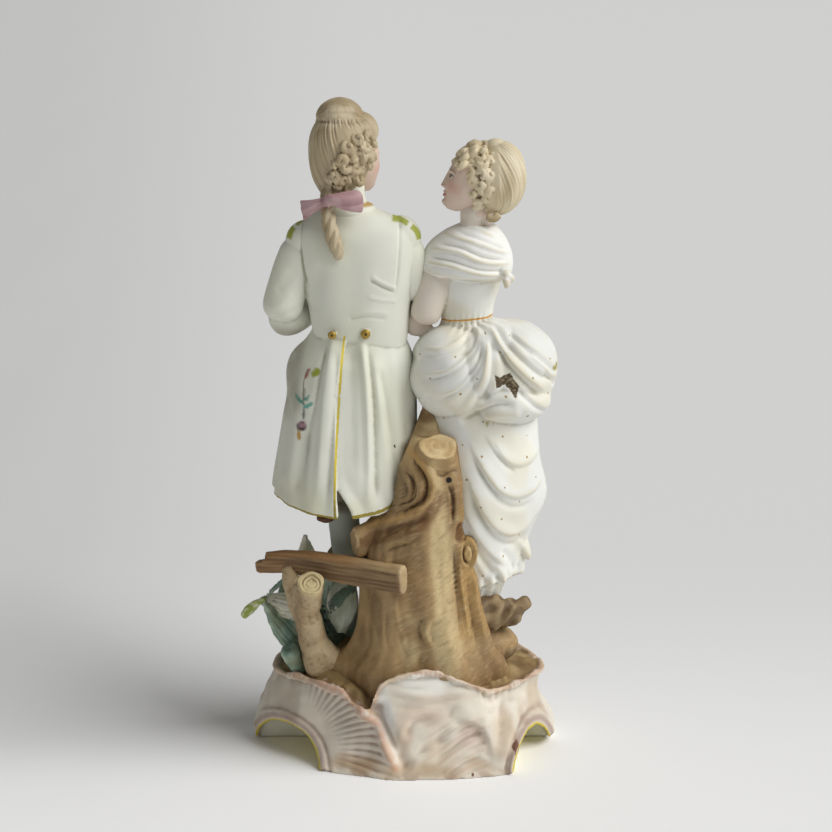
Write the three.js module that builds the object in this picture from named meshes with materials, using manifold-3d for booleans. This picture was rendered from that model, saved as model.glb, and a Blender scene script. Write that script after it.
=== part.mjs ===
// A bisque figure group, cast and fired as one piece: a gentleman in a tail coat and a lady in a
// puffed overskirt stand arm in arm before a tree stump, on a shell-worked base with a broken fence.
// Lengths are in millimetres. X runs right across the side that shows their backs, Y away from it
// towards the side that they face, and Z up. The origin is on the underside, below the stump.

import * as THREE from "three";
import Module from "manifold-3d";

const wasm = await Module();
wasm.setup();

const FINENESS = 0.61;
const TURN = 2 * Math.PI;
const DEGREE = Math.PI / 180;

// Driving dimensions. A table's columns are height, centre X, centre Y, half width and half depth.

const GROUND_HEIGHT = 49;
const BASE_GROUND_LINE = [
  [76, 4], [70, -22], [57, -49], [32, -57], [8, -59], [-4, -59], [-17, -55], [-41, -46],
  [-62, -24], [-74.5, 0], [-68, 26], [-46, 46], [-24, 54], [2, 57], [28, 54], [50, 46], [70, 28],
];
const BASE_RIM_LINE = [
  [72, 0, 40], [62, -21, 40], [45, -36, 39], [34, -42, 45], [13, -45, 52], [-9, -47, 47], [-17, -47, 32],
  [-31, -37, 39], [-48, -23, 41], [-64, -3, 39], [-58, 23, 42], [-39, 38, 40], [-22, 45, 44], [2, 47, 36],
  [25, 45, 44], [42, 39, 40], [60, 24, 42],
];
const SIDE_HOLLOW = 4.5;
const FOOT_BULGE = 3.5;
const RIM_ROLL = 2;
const ARCHES = [
  { from: -74, to: -41, height: 17 },
  { from: 56, to: 76, height: 15 },
];
const ARCH_BACK_WALL = [-2, 4];

const TRUNK = [
  [30, 11, -14, 42, 34],
  [47, 12, -15, 41, 33],
  [57, 12, -19, 37, 27],
  [80, 9.5, -20, 31, 22],
  [104, 7.5, -20, 29, 18],
  [122, 10, -20, 23, 16],
  [141, 15, -20, 16, 13],
  [155, 18, -18.5, 12.5, 11.5],
  [163, 17.5, -16.5, 11, 9.5],
];
const TRUNK_RIDGES = 7;

const COAT_YAW = -15 * DEGREE;
const MAN_TORSO = [
  [184, -22, 3, 20, 14],
  [200, -21, 1, 22.5, 17],
  [214, -20, 0, 23.8, 16.8],
  [226, -20.5, 0, 25, 17.5],
  [240, -21, 0, 27.5, 18],
  [254, -22, -1, 30, 17],
  [264, -22.5, -1, 28.5, 15],
  [271, -24, 0, 20, 12],
  [276, -26.5, 1.5, 11, 10],
  [286, -27, 2, 9, 9],
];
const COAT_SKIRT = [
  [124, -29, 2, 36.5, 33],
  [133, -28, 2, 35.5, 32],
  [158, -26, 2, 32, 28],
  [184, -24, 2, 28.5, 23.5],
  [200, -21.8, 1.5, 25.8, 20.5],
  [215, -20.2, 0, 24.4, 17.4],
];
const COAT_TOP = 214;
const COAT_HEM = 126;
const COAT_FRONT_ANGLE = 126 * DEGREE;
const COAT_THICKNESS = 3;
const PLEAT_DEPTH = 1.9;
const PLEAT_PITCH = 21 * DEGREE;
const WIG = [
  [278, -31, -3, 6.5, 6],
  [284, -31, -2, 10, 10],
  [289, -29.5, -1.5, 13.8, 13],
  [296, -28.5, -1, 16.6, 16],
  [305, -28.3, -0.5, 17.2, 17],
  [313, -28.5, 0, 15.6, 16],
  [317, -28.5, 1, 12.6, 14],
];

const LADY_TORSO = [
  [212, 33, 4, 13.5, 12],
  [219, 32.5, 4, 12.6, 11],
  [230, 32.5, 3.5, 14.5, 12],
  [240, 33, 3, 17, 13],
  [250, 33.5, 3, 18.5, 12.5],
  [258, 34.5, 3, 14, 10.5],
  [264, 36, 3, 8.5, 8],
];
const FICHU = [
  [238, 30.5, 2.5, 19.5, 14.5],
  [242, 31.5, 2.5, 22.5, 17.5],
  [250, 32.5, 2.5, 22.5, 17.5],
  [258, 33.5, 3, 19, 15.5],
  [263, 35, 3, 14, 12.5],
  [266, 37, 3, 9.5, 9],
];
const SKIRT = [
  [60, 39.5, 3, 27, 29],
  [92, 39, 3, 30, 30],
  [110, 40.5, 3, 31.5, 31],
  [131, 42, 3, 33.5, 31],
  [150, 40.5, 3, 30.5, 30],
  [165, 40, 4, 29.5, 28],
  [190, 38, 4, 27, 24],
  [208, 34, 4, 18, 16],
  [218, 32.8, 4, 13, 11.5],
];
const HEM_HEIGHTS = { middle: 76, right: 11, back: 7 };

// Numbers and curves

const clamp = (value, low = 0, high = 1) => Math.min(high, Math.max(low, value));
const mix = (a, b, share) => a + (b - a) * share;
const smooth = (share) => clamp(share) ** 2 * (3 - 2 * clamp(share));
const bump = (value, centre, reach) => Math.exp(-(((value - centre) / reach) ** 2));
const at = (x, y, z) => new THREE.Vector3(x, y, z);

// The smooth row of a table at a value of its first column, by Hermite curves between its rows.
function rowAt(rows, value) {
  const last = rows.length - 1;
  let i = 0;
  while (i < last - 1 && value > rows[i + 1][0]) i++;
  const [low, high] = [rows[i], rows[i + 1]];
  const before = rows[Math.max(i - 1, 0)];
  const after = rows[Math.min(i + 2, last)];
  const span = high[0] - low[0];
  const t = clamp((value - low[0]) / span);
  return low.slice(1).map((start, k) => {
    const end = high[k + 1];
    const slopeIn = ((end - before[k + 1]) / (high[0] - before[0])) * span;
    const slopeOut = ((after[k + 1] - start) / (after[0] - low[0])) * span;
    const [t2, t3] = [t * t, t * t * t];
    return (
      start * (2 * t3 - 3 * t2 + 1) + slopeIn * (t3 - 2 * t2 + t) +
      end * (3 * t2 - 2 * t3) + slopeOut * (t3 - t2)
    );
  });
}

// A closed curve through plan points, with a height where they have one.
function loopThrough(points) {
  const corners = points.map(([x, y, z = 0]) => at(x, y, z));
  return new THREE.CatmullRomCurve3(corners, true, "catmullrom", 0.5);
}

// Solids

function solidFrom(points, triangles) {
  const build = (faces) =>
    new wasm.Manifold(
      new wasm.Mesh({
        numProp: 3,
        vertProperties: new Float32Array(points.flatMap((p) => [p.x, p.y, p.z])),
        triVerts: new Uint32Array(faces.flat()),
      }),
    );
  const made = build(triangles);
  return made.volume() > 0 ? made : build(triangles.map(([a, b, c]) => [a, c, b]));
}

// A closed solid whose skin is place(turn, t): turn goes round from 0 to a full turn, t from 0 to 1.
function tube(place, around, along) {
  around = Math.max(5, Math.round(around * FINENESS));
  along = along < 3 ? along : Math.max(3, Math.round(along * FINENESS));
  const points = [];
  const triangles = [];
  for (let j = 0; j <= along; j++)
    for (let i = 0; i < around; i++) points.push(place((i / around) * TURN, j / along));
  const corner = (i, j) => j * around + (i % around);
  for (let j = 0; j < along; j++)
    for (let i = 0; i < around; i++) {
      triangles.push([corner(i, j), corner(i + 1, j), corner(i + 1, j + 1)]);
      triangles.push([corner(i, j), corner(i + 1, j + 1), corner(i, j + 1)]);
    }
  for (const j of [0, along]) {
    const middle = at(0, 0, 0);
    for (let i = 0; i < around; i++) middle.addScaledVector(points[corner(i, j)], 1 / around);
    points.push(middle);
    const hub = points.length - 1;
    for (let i = 0; i < around; i++)
      triangles.push(j === 0 ? [corner(i + 1, j), corner(i, j), hub] : [corner(i, j), corner(i + 1, j), hub]);
  }
  return solidFrom(points, triangles);
}

// A solid stacked up from a table of ovals. relief(turn, height) moves the skin outwards.
function stack(rows, around, along, { squareness = 2, relief = () => 0 } = {}) {
  const [low, high] = [rows[0][0], rows[rows.length - 1][0]];
  return tube((turn, t) => {
    const z = mix(low, high, t);
    const [x, y, width, depth] = rowAt(rows, z);
    const out = relief(turn, z);
    const power = 2 / squareness;
    const across = Math.sign(Math.cos(turn)) * Math.abs(Math.cos(turn)) ** power;
    const away = Math.sign(Math.sin(turn)) * Math.abs(Math.sin(turn)) ** power;
    return at(x + (width + out) * across, y + (depth + out) * away, z);
  }, around, along);
}

// A round-ended limb along a smooth path, with a radius at each of its points.
function limb(path, radii, around = 8, along = 10, flatness = 1, side = at(1, 0, 0)) {
  const curve = new THREE.CatmullRomCurve3(path.map((p) => at(...p)), false, "catmullrom", 0.5);
  const rows = radii.map((radius, i) => [i / (radii.length - 1), radius]);
  const roundOff = 0.5 / along;
  return tube((turn, t) => {
    const [radius] = rowAt(rows, t);
    const end = Math.min(t, 1 - t);
    const closing = end < roundOff ? 0.55 : 1;
    const tangent = curve.getTangent(t);
    const away = tangent.clone().cross(side).normalize();
    const across = away.clone().cross(tangent).normalize();
    return curve.getPoint(t)
      .addScaledVector(across, Math.cos(turn) * radius * closing)
      .addScaledVector(away, Math.sin(turn) * radius * closing * flatness);
  }, around, along);
}

// An oval ball, turned about X, Y and Z in that order by angles in degrees.
function ball(centre, radii, { turned = [0, 0, 0], around = 10, rings = 6, relief = () => 1 } = {}) {
  const matrix = new THREE.Matrix4().compose(
    at(...centre),
    new THREE.Quaternion().setFromEuler(new THREE.Euler(...turned.map((angle) => angle * DEGREE), "ZYX")),
    at(1, 1, 1),
  );
  return tube((turn, t) => {
    const lift = mix(0.06, 0.94, t) * Math.PI;
    const grow = relief(turn, lift);
    return at(
      radii[0] * Math.sin(lift) * Math.cos(turn) * grow,
      radii[1] * Math.sin(lift) * Math.sin(turn) * grow,
      -radii[2] * Math.cos(lift) * grow,
    ).applyMatrix4(matrix);
  }, around, rings);
}

// A cloth or leaf of even thickness, whose outer face is place(u, v), both from 0 to 1.
function sheet(place, across, down, thickness) {
  across = Math.max(2, Math.round(across * FINENESS));
  down = Math.max(3, Math.round(down * FINENESS));
  const step = 1e-3;
  const outer = [];
  const inner = [];
  for (let j = 0; j <= down; j++)
    for (let i = 0; i <= across; i++) {
      const [u, v] = [i / across, j / down];
      const alongU = place(Math.min(u + step, 1), v).sub(place(Math.max(u - step, 0), v));
      const alongV = place(u, Math.min(v + step, 1)).sub(place(u, Math.max(v - step, 0)));
      const point = place(u, v);
      outer.push(point);
      inner.push(point.clone().addScaledVector(alongU.cross(alongV).normalize(), thickness));
    }
  const points = [...outer, ...inner];
  const back = outer.length;
  const corner = (i, j) => j * (across + 1) + i;
  const triangles = [];
  const quad = (a, b, c, d) => triangles.push([a, b, c], [a, c, d]);
  for (let j = 0; j < down; j++)
    for (let i = 0; i < across; i++) {
      const [a, b, c, d] = [corner(i, j), corner(i + 1, j), corner(i + 1, j + 1), corner(i, j + 1)];
      quad(a, b, c, d);
      quad(d + back, c + back, b + back, a + back);
    }
  for (let i = 0; i < across; i++) {
    quad(corner(i + 1, 0), corner(i, 0), corner(i, 0) + back, corner(i + 1, 0) + back);
    quad(corner(i, down), corner(i + 1, down), corner(i + 1, down) + back, corner(i, down) + back);
  }
  for (let j = 0; j < down; j++) {
    quad(corner(0, j), corner(0, j + 1), corner(0, j + 1) + back, corner(0, j) + back);
    quad(corner(across, j + 1), corner(across, j), corner(across, j) + back, corner(across, j + 1) + back);
  }
  return solidFrom(points, triangles);
}

const joined = (solids) => solids.reduce((whole, piece) => whole.add(piece));

// The base

function groundHeight(x, y) {
  const out = Math.hypot(x / 62, (y + 2) / 42);
  return mix(GROUND_HEIGHT + 1, 38, smooth((out - 0.35) / 0.75));
}

function baseBody() {
  const foot = loopThrough(BASE_GROUND_LINE);
  const rim = loopThrough(BASE_RIM_LINE);
  const sideShare = 0.6;
  return tube((turn, t) => {
    const u = turn / TURN;
    const low = foot.getPoint(u);
    const top = rim.getPoint(u);
    if (t <= sideShare) {
      const rise = t / sideShare;
      const atEnds = smooth((Math.abs(low.x) - 40) / 25);
      const hollow = SIDE_HOLLOW * (1 - atEnds) * Math.sin(Math.PI * rise);
      const bulge = FOOT_BULGE * atEnds * Math.sin(Math.PI * rise ** 0.7);
      const outward = at(low.x, low.y, 0).normalize();
      return low.clone().lerp(top, rise).addScaledVector(outward, bulge - hollow);
    }
    const inwards = (t - sideShare) / (1 - sideShare);
    const share = 1 - 0.8 * inwards;
    const [x, y] = [top.x * share, top.y * share];
    const dip = RIM_ROLL * bump(inwards, 0.25, 0.2);
    return at(x, y, mix(top.z, groundHeight(x, y), smooth(inwards * 3)) - dip);
  }, 72, 10);
}

// The hollow behind an arch: a vault that runs along Y, from outside the base to its back wall.
function archVault({ from, to, height }, wall) {
  const arch = new THREE.Shape();
  arch.absellipse((from + to) / 2, 0, (to - from) / 2, height, 0, Math.PI, false);
  const outline = arch.getPoints(9);
  const outside = 80 * Math.sign(wall);
  const ring = (y) => outline.map((p) => at(p.x, y, p.y > 0.01 ? p.y : -2));
  const rings = wall < 0 ? [ring(outside), ring(wall)] : [ring(wall), ring(outside)];
  const triangles = [];
  const points = rings.flat();
  const count = outline.length;
  for (let i = 0; i < count; i++) {
    const next = (i + 1) % count;
    triangles.push([i, next, count + next], [i, count + next, count + i]);
  }
  for (let i = 1; i < count - 1; i++) {
    triangles.push([0, i + 1, i], [count, count + i, count + i + 1]);
  }
  return solidFrom(points, triangles);
}

function base() {
  const vaults = ARCHES.flatMap((arch) => ARCH_BACK_WALL.map((wall) => archVault(arch, wall)));
  return vaults.reduce((body, vault) => body.subtract(vault), baseBody());
}

// The stump, with the sawn stubs of its branches and the ridge round its hollow

function trunk() {
  const bark = (turn, z) => {
    const flare = smooth((95 - z) / 55);
    return mix(1, 3.8, flare) * Math.cos(TRUNK_RIDGES * turn + z / 26) + 0.8 * Math.cos(3 * turn - z / 14);
  };
  const stem = stack(TRUNK, 30, 13, { relief: bark });
  const tongue = limb([[15, -12, 148], [14, -11, 162], [12.6, -10, 176]], [12, 9, 3], 10, 5);
  const sawnBranch = limb([[17, -14, 143], [18.3, -21, 153], [18.6, -28, 162]], [12, 11, 10], 14, 4);
  const stub = limb([[-5, -17, 112], [-14, -22, 114], [-23, -27, 115]], [10.5, 7.5, 5.5], 9, 3);
  const knot = ball([33.5, -27, 107], [4.5, 4, 6.5], { around: 8, rings: 4 });
  const ear = limb(
    [[5, -28, 153], [12, -34, 146], [13, -37, 139], [9, -37, 132], [-2, -35, 126], [-14, -30, 119]],
    [2.4, 3, 3.4, 3.4, 3.2, 3], 6, 9,
  );
  return joined([stem, tongue, sawnBranch, stub, knot, ear]);
}

// The log that sticks out under the lady's hem

function fallenBranch() {
  return joined([
    limb([[26, -14, 68], [42, -11, 70], [54, -9, 70], [60.5, -8, 66]], [9.5, 9, 7, 5.5], 9, 6),
    limb([[55, -9, 70], [60.5, -8, 73], [65, -7, 75]], [5.5, 4, 4.2], 8, 3),
    ball([38, -6, 54], [22, 16, 10], { around: 12, rings: 5 }),
  ]);
}

// The broken fence beside the stump

function fence() {
  const rail = limb(
    [[-73, -4, 95.5], [-52, -13, 98.5], [-25, -27, 98.5], [1.5, -42, 97.5]],
    [5.2, 6.4, 7.2, 7], 9, 8, 0.62, at(0, 0, 1),
  );
  return joined([
    rail,
    limb([[-47, -28, 40], [-47.5, -27, 58], [-49, -24, 74], [-56, -17, 90], [-59, -14, 97]],
      [11, 8.6, 8.2, 6, 3], 10, 7),
    limb([[-50, -23, 77], [-47, -28, 86], [-44, -33, 94.5]], [7.6, 7, 6], 10, 3),
  ]);
}

// A leaf or petal from root to tip, as wide as said, bowed up by lift and cupped across.
function leaf(root, tip, width, lift, side, { cup = 2, thickness = 1.8, across = 3, along = 5 } = {}) {
  const [start, end, sideways] = [at(...root), at(...tip), at(...side).normalize()];
  const up = end.clone().sub(start).normalize().cross(sideways).normalize();
  return sheet((u, v) => {
    const reach = mix(0.02, 0.98, v);
    const half = width * 0.5 * Math.sin(Math.PI * reach ** 0.8) + 0.5;
    return start.clone().lerp(end, reach)
      .addScaledVector(sideways, (u * 2 - 1) * half)
      .addScaledVector(up, lift * Math.sin(Math.PI * reach) + cup * (u * 2 - 1) ** 2);
  }, across, along, thickness);
}

function waterPlants() {
  return joined([
    leaf([-52, -4, 58], [-83, -6, 67], 9, 4, [0.2, 0.2, 1]),
    leaf([-46, -2, 64], [-72, -6, 75], 14, 3, [0.1, 0.8, 1]),
    leaf([-46, 0, 62], [-66, -4, 88], 14, 4, [0.4, 1, 0.3]),
    leaf([-44, 4, 66], [-48.5, 2, 108], 13, 3, [1, 0.2, 0]),
    leaf([-46, -4, 40], [-66, -10, 74], 17, -3, [0.4, 1, 0.1]),
    leaf([-32, -2, 44], [-36, -6, 90], 22, 3, [1, -0.3, 0]),
    leaf([-46, 12, 44], [-60, 26, 80], 20, 4, [1, 0.6, 0]),
    limb([[-52, -10, 42], [-56, -12, 48], [-60, -14, 54]], [4, 5.5, 6.5], 9, 3),
    ball([-42, 4, 48], [16, 14, 20], { around: 11, rings: 6 }),
  ]);
}

// The gentleman

// A coat tail from its back vent round to its front edge, to the left for side -1, to the right for 1.
function coatTail(side) {
  return sheet((u, v) => {
    const vent = side > 0 ? 12 * DEGREE * smooth((v - 0.7) / 0.3) : -1.5 * DEGREE;
    const angle = vent + u * (COAT_FRONT_ANGLE - vent);
    const hem = COAT_HEM + 10 * u ** 1.6;
    const z = mix(COAT_TOP, hem, v);
    const [x, y, width, depth] = rowAt(COAT_SKIRT, z);
    const pleats = PLEAT_DEPTH * smooth(v * 1.4) * Math.cos((TURN * angle) / PLEAT_PITCH) * (1 - smooth((u - 0.45) / 0.3));
    const hip = 6 * bump(z, 196, 11) * bump(angle / DEGREE, 96, 26);
    const out = pleats + (side < 0 ? hip + 0.9 : 0);
    const round = COAT_YAW + side * angle;
    return at(x + (width + out) * Math.sin(round), y - (depth + out) * Math.cos(round), z);
  }, 18, 8, side * COAT_THICKNESS);
}

function gentlemanBody() {
  const torso = stack(MAN_TORSO, 24, 14, { squareness: 2.3 });
  const waistcoat = ball([-16, 10, 196], [13, 9, 17], { around: 10, rings: 6 });
  const jabot = ball([-16.5, 13.5, 264], [6, 5, 11], { turned: [-10, 0, -15], around: 8, rings: 5 });
  const collar = ball([-26, 0.5, 272.5], [13, 11.5, 4.5], { around: 12, rings: 4 });
  const shoulders = [-47, 1.5].map((x) => ball([x, -1, 259.5], [10.5, 10, 10], { around: 12, rings: 6 }));
  const buttons = [[-33.4, -16.2], [-18, -17.6]].map(([x, y]) => ball([x, y, 215.5], [2.1, 1.4, 2.1], { around: 6, rings: 4 }));
  return joined([torso, waistcoat, jabot, collar, ...shoulders, ...buttons]);
}

function gentlemanArms() {
  return joined([
    limb([[-49, 0, 259], [-55.5, -2, 241], [-60.5, -3, 219]], [9.5, 9.8, 10.4], 11, 6),
    limb([[-60, -1, 219], [-53, 12, 220], [-42, 25, 225]], [10.4, 9.4, 7.2], 10, 6),
    ball([-38.5, 28, 226], [7, 5.5, 5], { around: 8, rings: 4 }),
    limb([[2.5, -1, 260], [5, 0, 244], [5.5, 3, 229]], [9.3, 8.8, 8.6], 10, 6),
    limb([[5, 4, 229], [2.5, 18, 229], [-3, 34, 232.5]], [8.6, 7.6, 6.4], 9, 5),
    ball([-5, 37.5, 233.5], [5.5, 7, 5], { around: 8, rings: 4 }),
  ]);
}

function gentlemanLegs() {
  const leg = (hip, knee, calf, ankle, toe) =>
    joined([
      limb([hip, knee, calf, ankle], [12.5, 8.6, 7.2, 4.8], 10, 9),
      limb([[ankle[0], ankle[1] - 3, 53], [(ankle[0] + toe[0]) / 2, (ankle[1] + toe[1]) / 2, 54], toe], [5.4, 5.4, 3.4], 8, 4),
    ]);
  return joined([
    leg([-29, 4, 190], [-30, 4, 126], [-28, 0, 104], [-28, 2, 58], [-31, 25, 51]),
    leg([-13, 5, 190], [-9, 11, 126], [-7, 9, 104], [-6, 11, 58], [-2, 33, 51]),
  ]);
}

function gentlemanHead() {
  const wig = stack(WIG, 18, 10);
  const face = ball([-24.5, 5.5, 298], [12, 15, 16], { turned: [-4, 0, -35], around: 14, rings: 8 });
  const chin = ball([-17.5, 13.5, 286.5], [6.5, 6, 5.5], { turned: [0, 0, -35], around: 8, rings: 5 });
  const nose = ball([-16, 16.4, 297], [3, 3.4, 3.6], { around: 8, rings: 4 });
  const roll = ball([-29.2, 3, 319.5], [12.6, 13.5, 9], { around: 14, rings: 7 });
  const curls = [];
  for (let row = 0; row < 3; row++)
    for (let i = 0; i < 2; i++) {
      const round = (26 * i + 12 * (row % 2) - 58) * DEGREE;
      const place = [-28 + 14.5 * Math.cos(round), 14.5 * Math.sin(round), 305 - 7 * row];
      curls.push(ball(place, [4.8, 4.8, 4.2], { around: 7, rings: 4 }));
    }
  const queue = limb(
    [[-32, -9, 284], [-32, -15.5, 276], [-31, -19, 267], [-29.5, -19.5, 257]],
    [4, 4.6, 4.9, 3], 8, 7,
  );
  const bow = joined([
    limb([[-34.5, -15, 280], [-41, -16, 279.5], [-48, -15.5, 277.5]], [2.4, 4, 5.2], 7, 3, 0.5),
    limb([[-34.5, -15, 280.5], [-28, -16.5, 281], [-20, -15.5, 279.5]], [2.4, 4, 5.2], 7, 3, 0.5),
  ]);
  return joined([wig, face, chin, nose, roll, ...curls, queue, bow]);
}

// The lady

function ladyBody() {
  const torso = stack(LADY_TORSO, 16, 8);
  const neck = limb([[38, 3, 254], [36.5, 2.5, 266], [36, 2, 278]], [9, 7.4, 7.4], 10, 4);
  const folds = (turn, z) => 1.3 * Math.sin(z * 0.75 + 1.6 * Math.cos(turn + 0.6)) * bump(z, 251, 8);
  const fichu = stack(FICHU, 22, 8, { relief: folds });
  const knot = ball([51.5, -9, 243.5], [3.6, 4, 3.4], { around: 7, rings: 4 });
  return joined([torso, neck, fichu, knot]);
}

function ladyArms() {
  return joined([
    limb([[20.5, 0, 249], [15.5, -3, 234], [10.5, -3, 218]], [8.6, 7.8, 7.8], 9, 5),
    limb([[10.5, -2, 218], [5, 12, 218], [0, 27, 223]], [7.8, 6.4, 4.8], 9, 5),
    ball([-2, 31, 226], [4.4, 6, 3.6], { around: 7, rings: 4 }),
    limb([[42, 8, 250], [41, 17, 238], [39.5, 25, 228]], [8, 7, 6.4], 9, 5),
    limb([[40, 24, 228], [32, 31, 230], [23, 34, 234]], [6.4, 5.4, 4], 8, 5),
    ball([20, 34, 234.5], [7, 4.2, 4.2], { around: 7, rings: 4 }),
  ]);
}

function ladyHead() {
  const face = ball([34.5, 2, 286.5], [13.2, 11.4, 15], { turned: [0, 16, 0], around: 14, rings: 8 });
  const chin = ball([24.5, 2, 279], [6, 5.4, 5], { around: 8, rings: 5 });
  const nose = ball([22.6, 2, 290.4], [3.4, 2.4, 3.6], { around: 8, rings: 4 });
  const swept = ball([48.5, 2, 289.5], [12.6, 13.6, 19.4], { turned: [0, 4, 0], around: 16, rings: 10 });
  const brow = ball([38, 2, 299], [10.5, 12.5, 7.5], { turned: [0, 12, 0], around: 12, rings: 6 });
  const curls = [];
  for (const side of [-1, 1])
    for (let i = 0; i < 4; i++) {
      const t = i / 3;
      const place = [mix(32, 41, t) + 2 * Math.sin(3 * i), 2 + side * mix(8.5, 11.5, t), mix(302, 279, t)];
      curls.push(ball(place, [4.8, 4, 4.6], { around: 7, rings: 4 }));
    }
  return joined([face, chin, nose, swept, brow, ...curls]);
}

function skirtFolds(turn, z) {
  const low = smooth((200 - z) / 70);
  const swag = Math.sin(turn * 5 + (z - 80) / 16) * bump(z, 130, 42);
  return low * (1.3 * swag + 1.3 * Math.cos(7 * turn + 0.6) * smooth((125 - z) / 40));
}

// The underskirt, whose hem lifts towards the right side and dips at the back.
function underskirt() {
  const top = SKIRT[SKIRT.length - 1][0];
  return tube((turn, t) => {
    const hem = HEM_HEIGHTS.middle + HEM_HEIGHTS.right * Math.cos(turn) - HEM_HEIGHTS.back * Math.sin(turn);
    const z = mix(hem, top, t);
    const [x, y, width, depth] = rowAt(SKIRT, z);
    const out = skirtFolds(turn, z);
    return at(x + (width + out) * Math.cos(turn), y + (depth + out) * Math.sin(turn), z);
  }, 36, 13);
}

// A gathered puff of cloth, whose creases run out from its top.
function puff(centre, radii, creases, depth, phase) {
  return ball(centre, radii, {
    around: 20, rings: 8,
    relief: (turn, lift) => 1 + depth * Math.cos(creases * turn + phase) * Math.sin(lift) ** 0.7,
  });
}

function ladySkirts() {
  const petticoat = stack([[46, 36, 5, 22, 20], [60, 36, 5, 18, 19], [84, 37, 4, 20, 22]], 18, 3);
  const puffs = [
    puff([27, -4, 192], [23, 24, 23], 7, 0.045, 0.8),
    puff([55, 0, 196], [23.5, 25, 25], 7, 0.04, 2.2),
    puff([51, -4, 181], [24, 24, 14], 6, 0.04, 0.4),
    puff([38, 10, 189], [26, 26, 27], 6, 0.03, 1.1),
  ];
  const shoes = [[26, 28], [37, 30]].map(([x, y]) =>
    limb([[x + 1, y - 12, 53], [x, y - 3, 53], [x - 1, y + 6, 51]], [4.5, 4.6, 3], 7, 3));
  return joined([underskirt(), petticoat, ...puffs, ...shoes]);
}

// The whole group

const bisque = new THREE.MeshStandardMaterial({ color: "#e9e6dc", roughness: 0.62, metalness: 0 });

function meshOf(solid, name) {
  const { vertProperties, triVerts } = solid.getMesh();
  const geometry = new THREE.BufferGeometry();
  geometry.setAttribute("position", new THREE.BufferAttribute(new Float32Array(vertProperties), 3));
  geometry.setIndex(new THREE.BufferAttribute(new Uint32Array(triVerts), 1));
  geometry.computeVertexNormals();
  const mesh = new THREE.Mesh(geometry, bisque);
  mesh.name = name;
  return mesh;
}

const group = new THREE.Group();
group.add(
  meshOf(
    joined([
      base(), trunk(), fallenBranch(), fence(), waterPlants(),
      gentlemanBody(), coatTail(-1), coatTail(1), gentlemanArms(), gentlemanLegs(), gentlemanHead(),
      ladyBody(), ladyArms(), ladyHead(), ladySkirts(),
    ]),
    "figure_group",
  ),
);

export default group;
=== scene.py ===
"""A painted bisque figure group: a gentleman and a lady arm in arm before a stump, on a shell-worked base."""

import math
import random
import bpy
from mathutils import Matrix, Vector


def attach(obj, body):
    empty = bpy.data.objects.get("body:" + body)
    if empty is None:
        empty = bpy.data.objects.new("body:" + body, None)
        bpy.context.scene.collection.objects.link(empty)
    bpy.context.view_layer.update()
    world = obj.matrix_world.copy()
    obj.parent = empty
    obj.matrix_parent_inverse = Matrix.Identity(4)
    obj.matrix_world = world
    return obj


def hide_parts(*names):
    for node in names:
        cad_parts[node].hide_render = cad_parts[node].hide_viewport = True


bl_info = {
    "name": "Bisque figure group",
    "version": (1, 0, 0),
    "blender": (4, 5, 0),
    "location": "View3D > Sidebar > Bisque",
    "description": "Models, paints and lights a bisque figure group round its packed frame",
    "category": "Object",
}

import bpy
import numpy as np
from bpy.props import FloatProperty, FloatVectorProperty, PointerProperty
from mathutils.bvhtree import BVHTree

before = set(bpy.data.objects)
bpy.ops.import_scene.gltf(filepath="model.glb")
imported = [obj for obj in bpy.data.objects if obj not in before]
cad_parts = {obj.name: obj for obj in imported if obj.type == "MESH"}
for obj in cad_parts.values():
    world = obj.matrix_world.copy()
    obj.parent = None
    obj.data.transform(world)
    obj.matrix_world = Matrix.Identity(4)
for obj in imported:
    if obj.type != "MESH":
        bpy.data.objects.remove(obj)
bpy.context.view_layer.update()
NODE = "figure_group"

MM = 0.001
TURN = 2 * math.pi
COARSER = 1.0
AWAY = 9.0  # what an attribute holds where its line or spot is out of reach, in millimetres
FARTHEST = 1e9


def linear(hex_colour):
    """The linear colour and alpha of an sRGB hex value."""
    parts = [int(hex_colour[i:i + 2], 16) / 255 for i in (1, 3, 5)]
    return tuple(p / 12.92 if p <= 0.04045 else ((p + 0.055) / 1.055) ** 2.4 for p in parts) + (1.0,)


# What a user would change

def size_prop(name, description, default_mm, low_mm, high_mm):
    """A size that a user can change, given in millimetres."""
    return FloatProperty(name=name, description=description, default=default_mm * MM, min=low_mm * MM,
                         max=high_mm * MM, precision=4, unit="LENGTH")


def colour_prop(name, description, default):
    """A colour that a user can change, given as a hex value."""
    return FloatVectorProperty(name=name, description=description, default=linear(default)[:3], min=0, max=1,
                               size=3, subtype="COLOR")


class BisqueSizes(bpy.types.PropertyGroup):
    """Real sizes of the group that can be changed before its pieces are built."""
    mound_height: size_prop("Mound height", "Height of the ground at the foot of the stump", 50, 46, 54)
    coat_hem: size_prop("Coat hem", "Height of the hem of the coat tails at the vent", 126, 120, 132)
    button_radius: size_prop("Button radius", "Radius of the two buttons at the back of the waist", 2.15, 1.5, 3)
    gold_line: size_prop("Gold line", "Mean width of the gold lines on the coat and round the arches", 1.32, 0.6, 2.5)
    curl_size: size_prop("Curl size", "Radius of a side curl of the hair", 2.7, 2, 4)
    dot_pitch: size_prop("Dot pitch", "Mean distance between the dots on the dress", 14.5, 8, 25)


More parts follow.
